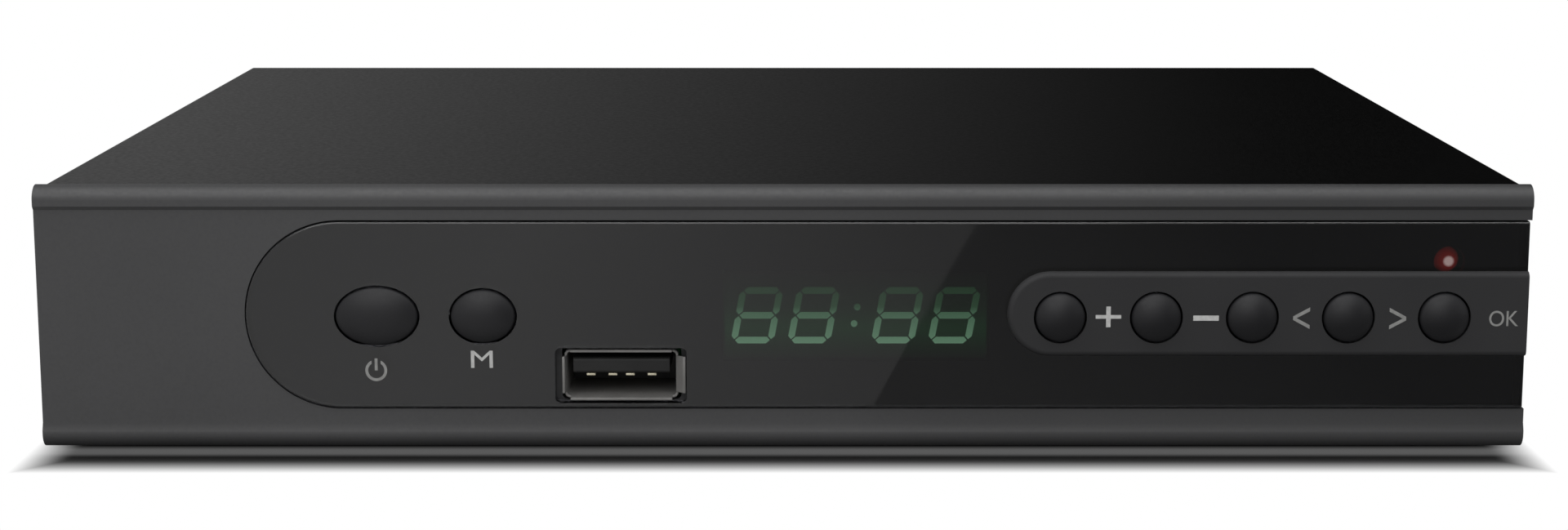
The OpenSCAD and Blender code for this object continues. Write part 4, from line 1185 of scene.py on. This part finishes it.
# Painted light band on the floor just behind the case's front edge: where it rises and where it ends
streak_rise = (-9, -6.6)
streak_fall = (-3.4, -5.6)
grey_low = Vector((8.4, -489.3, CARD_LIFT))
grey_high = Vector((500, -72.7, CARD_LIFT))
grey_slant = 71.1
card_thick = 1
grey_run = ((20, 0.32), (80, 0.16))
flag_run = ((120, 0.6), (400, 0.1))
back_run = ((-180, 0.5), (148, 0))
back_power = 1.5
back_low = Vector((-700, 365, 0))
back_size = Vector((1400, card_thick, 1500))
flag_low = Vector((120, -632, 0))
flag_size = Vector((780, card_thick, 600))
lamp_place = (-60, -441, 600)
lamp_aim = (0, 0, 17)
lamp_size = 900
lamp_energy = 5.6

world = bpy.data.worlds.new("studio")
bpy.context.scene.world = world
world.use_nodes = True
tree = world.node_tree
tree.nodes.clear()
rays = add(tree, "LightPath").outputs
seen = add(tree, "Math", {0: rays["Is Camera Ray"], 1: rays["Is Glossy Ray"]}, operation="MAXIMUM")
seen = add(tree, "Math", {0: seen, 1: rays["Is Transmission Ray"]}, operation="MAXIMUM")
strength = add(tree, "MapRange", {"Value": seen, "To Min": SKY_FILL, "To Max": 1})
sky = add(tree, "Background", {"Color": WHITE, "Strength": strength})
add(tree, "OutputWorld", {"Surface": sky})


def sheet_of(name, low, high):
    """Flat rectangle between two corners, for the floor and the cards."""
    low = Vector(low) * MM
    high = Vector(high) * MM
    bpy.ops.object.select_all(action="DESELECT")
    bpy.ops.mesh.primitive_plane_add(size=1, location=(low + high) / 2)
    bpy.context.object.scale = (high.x - low.x, high.y - low.y, 1)
    return settle(name)


def make_floor():
    """Pale floor: white to the eye; where the case stands, real shadow on paper painted darker and a
    painted band of light; painted shade in reflections near it.
    """
    floor = sheet_of("floor", (-floor_reach, -floor_reach, 0), (floor_reach, floor_reach, 0))
    made, tree, coordinates = new_tree("paper_floor")
    rays = add(tree, "LightPath").outputs
    where = add(tree, "SeparateXYZ", {"Vector": coordinates}).outputs
    past = []
    for axis, low, high in (("X", panel_low.x, panel_high.x), ("Y", lip_y, rear_y)):
        offset = add(tree, "Math", {0: where[axis], 1: (low + high) / 2 * MM}, operation="SUBTRACT")
        distance = add(tree, "Math", {0: offset}, operation="ABSOLUTE")
        past.append(add(tree, "Math", {0: distance, 1: (high - low) / 2 * MM}, operation="SUBTRACT"))
    outside = add(tree, "Math", {0: past[0], 1: past[1]}, operation="MAXIMUM")
    shown = add(tree, "MapRange", {"Value": outside, "From Min": shade_start * MM,
                                   "From Max": shade_end * MM})
    shown = add(tree, "Math", {0: shown, 1: 2}, operation="POWER")
    # Painted shade in reflections: close to the case, reflections see the shaded paper instead of white
    mirrored = add(tree, "MapRange", {"Value": outside, "From Max": mirror_end * MM},
                   interpolation_type="SMOOTHSTEP")
    mirrored = add(tree, "Math", {0: mirrored, 1: rays["Is Glossy Ray"]}, operation="MULTIPLY")
    white = add(tree, "Math", {0: shown, 1: rays["Is Camera Ray"], 2: mirrored}, operation="MULTIPLY_ADD")
    # Painted shade: the floor's white, as reflections see it, dims from left to right
    painted_falloff = add(tree, "MapRange", {
        "Value": where["X"], "From Min": mirror_left[0] * MM, "From Max": mirror_right[0] * MM,
        "To Min": mirror_left[1], "To Max": mirror_right[1],
    })
    level = add(tree, "Mix", {"Factor": rays["Is Camera Ray"], "A": painted_falloff, "B": 1.0})
    # Painted shade: the paper is painted darker where the case stands, on top of the real shadow it takes
    shade = add(tree, "ValToRGB", {"Fac": shown}, [(0, "#505050"), (1, "#989898")])
    paper = add(tree, "BsdfDiffuse", {"Color": shade})
    # Painted light: a band of emission on the floor just behind the front edge, seen only by the camera
    # and added to the paper
    ahead = add(tree, "Math", {0: where["Y"], 1: -1, 2: lip_y * MM}, operation="MULTIPLY_ADD")
    rising = add(tree, "MapRange", {"Value": ahead, "From Min": streak_rise[0] * MM,
                                    "From Max": streak_rise[1] * MM, "To Max": PAINTED_STREAK},
                 interpolation_type="SMOOTHSTEP")
    falling = add(tree, "MapRange", {"Value": ahead, "From Min": streak_fall[0] * MM,
                                     "From Max": streak_fall[1] * MM}, interpolation_type="SMOOTHSTEP")
    painted_streak = add(tree, "Math", {0: rising, 1: falling}, operation="MULTIPLY")
    painted_streak = add(tree, "Math", {0: painted_streak, 1: rays["Is Camera Ray"]}, operation="MULTIPLY")
    sheen = add(tree, "Emission", {"Color": WHITE, "Strength": painted_streak})
    paper = add(tree, "AddShader", {0: paper, 1: sheen})
    glow = add(tree, "Emission", {"Color": WHITE, "Strength": level})
    mix = add(tree, "MixShader", {"Fac": white, 1: paper, 2: glow})
    add(tree, "OutputMaterial", {"Surface": mix})
    floor.data.materials.append(made)


def hang_card(card, name, start, end, power=1.0):
    """Card that only reflections show: its level changes along X between two places."""
    made, tree, coordinates = new_tree(name)
    where = add(tree, "SeparateXYZ", {"Vector": coordinates}).outputs
    run = add(tree, "MapRange", {"Value": where["X"], "From Min": start[0] * MM, "From Max": end[0] * MM,
                                 "To Min": start[1], "To Max": end[1]})
    level = add(tree, "Math", {0: run, 1: power}, operation="POWER")
    glow = add(tree, "Emission", {"Color": WHITE, "Strength": level})
    add(tree, "OutputMaterial", {"Surface": glow})
    card.data.materials.append(made)
    for ray in ("camera", "diffuse", "transmission", "volume_scatter", "shadow"):
        setattr(card, "visible_" + ray, False)


def make_cards():
    """Cards that shade the reflections: one on the floor at the right, one behind, one far in front."""
    front = sheet_of("front_card", grey_low, grey_high)
    move_points(front, at(x=grey_low.x, y=grey_low.y), (grey_slant, 0, 0))
    hang_card(front, "grey_card", *grey_run)
    flag = block("side_card", flag_low, flag_low + flag_size)
    hang_card(flag, "flag_card", *flag_run)
    back = block("back_card", back_low, back_low + back_size)
    hang_card(back, "graded_card", *back_run, back_power)


make_floor()
make_cards()


def make_lamp():
    """Square softbox that faces the middle of the case."""
    aim = (Vector(lamp_aim) - Vector(lamp_place)).to_track_quat("-Z", "Y").to_euler()
    bpy.ops.object.select_all(action="DESELECT")
    bpy.ops.object.light_add(type="AREA", location=Vector(lamp_place) * MM, rotation=aim)
    lamp = bpy.context.object
    lamp.name = "key_softbox"
    lamp.data.size = lamp_size * MM
    lamp.data.energy = lamp_energy


make_lamp()


# CAD nodes whose shape is right take a material

finishes = {
    "display_module": display_face(), "display_segments": lit_green(), "status_light": lit_red(),
    "remote_receiver": receiver_epoxy, "board_connector": connector_nylon,
    "front_board": board_mask, "main_board": board_mask,
    "front_board_screws": steel, "board_screws": steel, "board_standoffs": steel, "crystal": steel,
    "processor": chip_epoxy, "memory_chips": chip_epoxy, "heat_sink": aluminium,
    "capacitors": sleeve_film, "power_coils": ferrite, "tuner_can": tinplate,
    "switch_housings": switch_nylon, "jack_block": socket_black,
}
for button in BUTTONS:
    finishes[button + "_plunger"] = socket_black
for node, finish in finishes.items():
    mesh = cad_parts[node].data
    mesh.materials.clear()
    mesh.materials.append(finish)
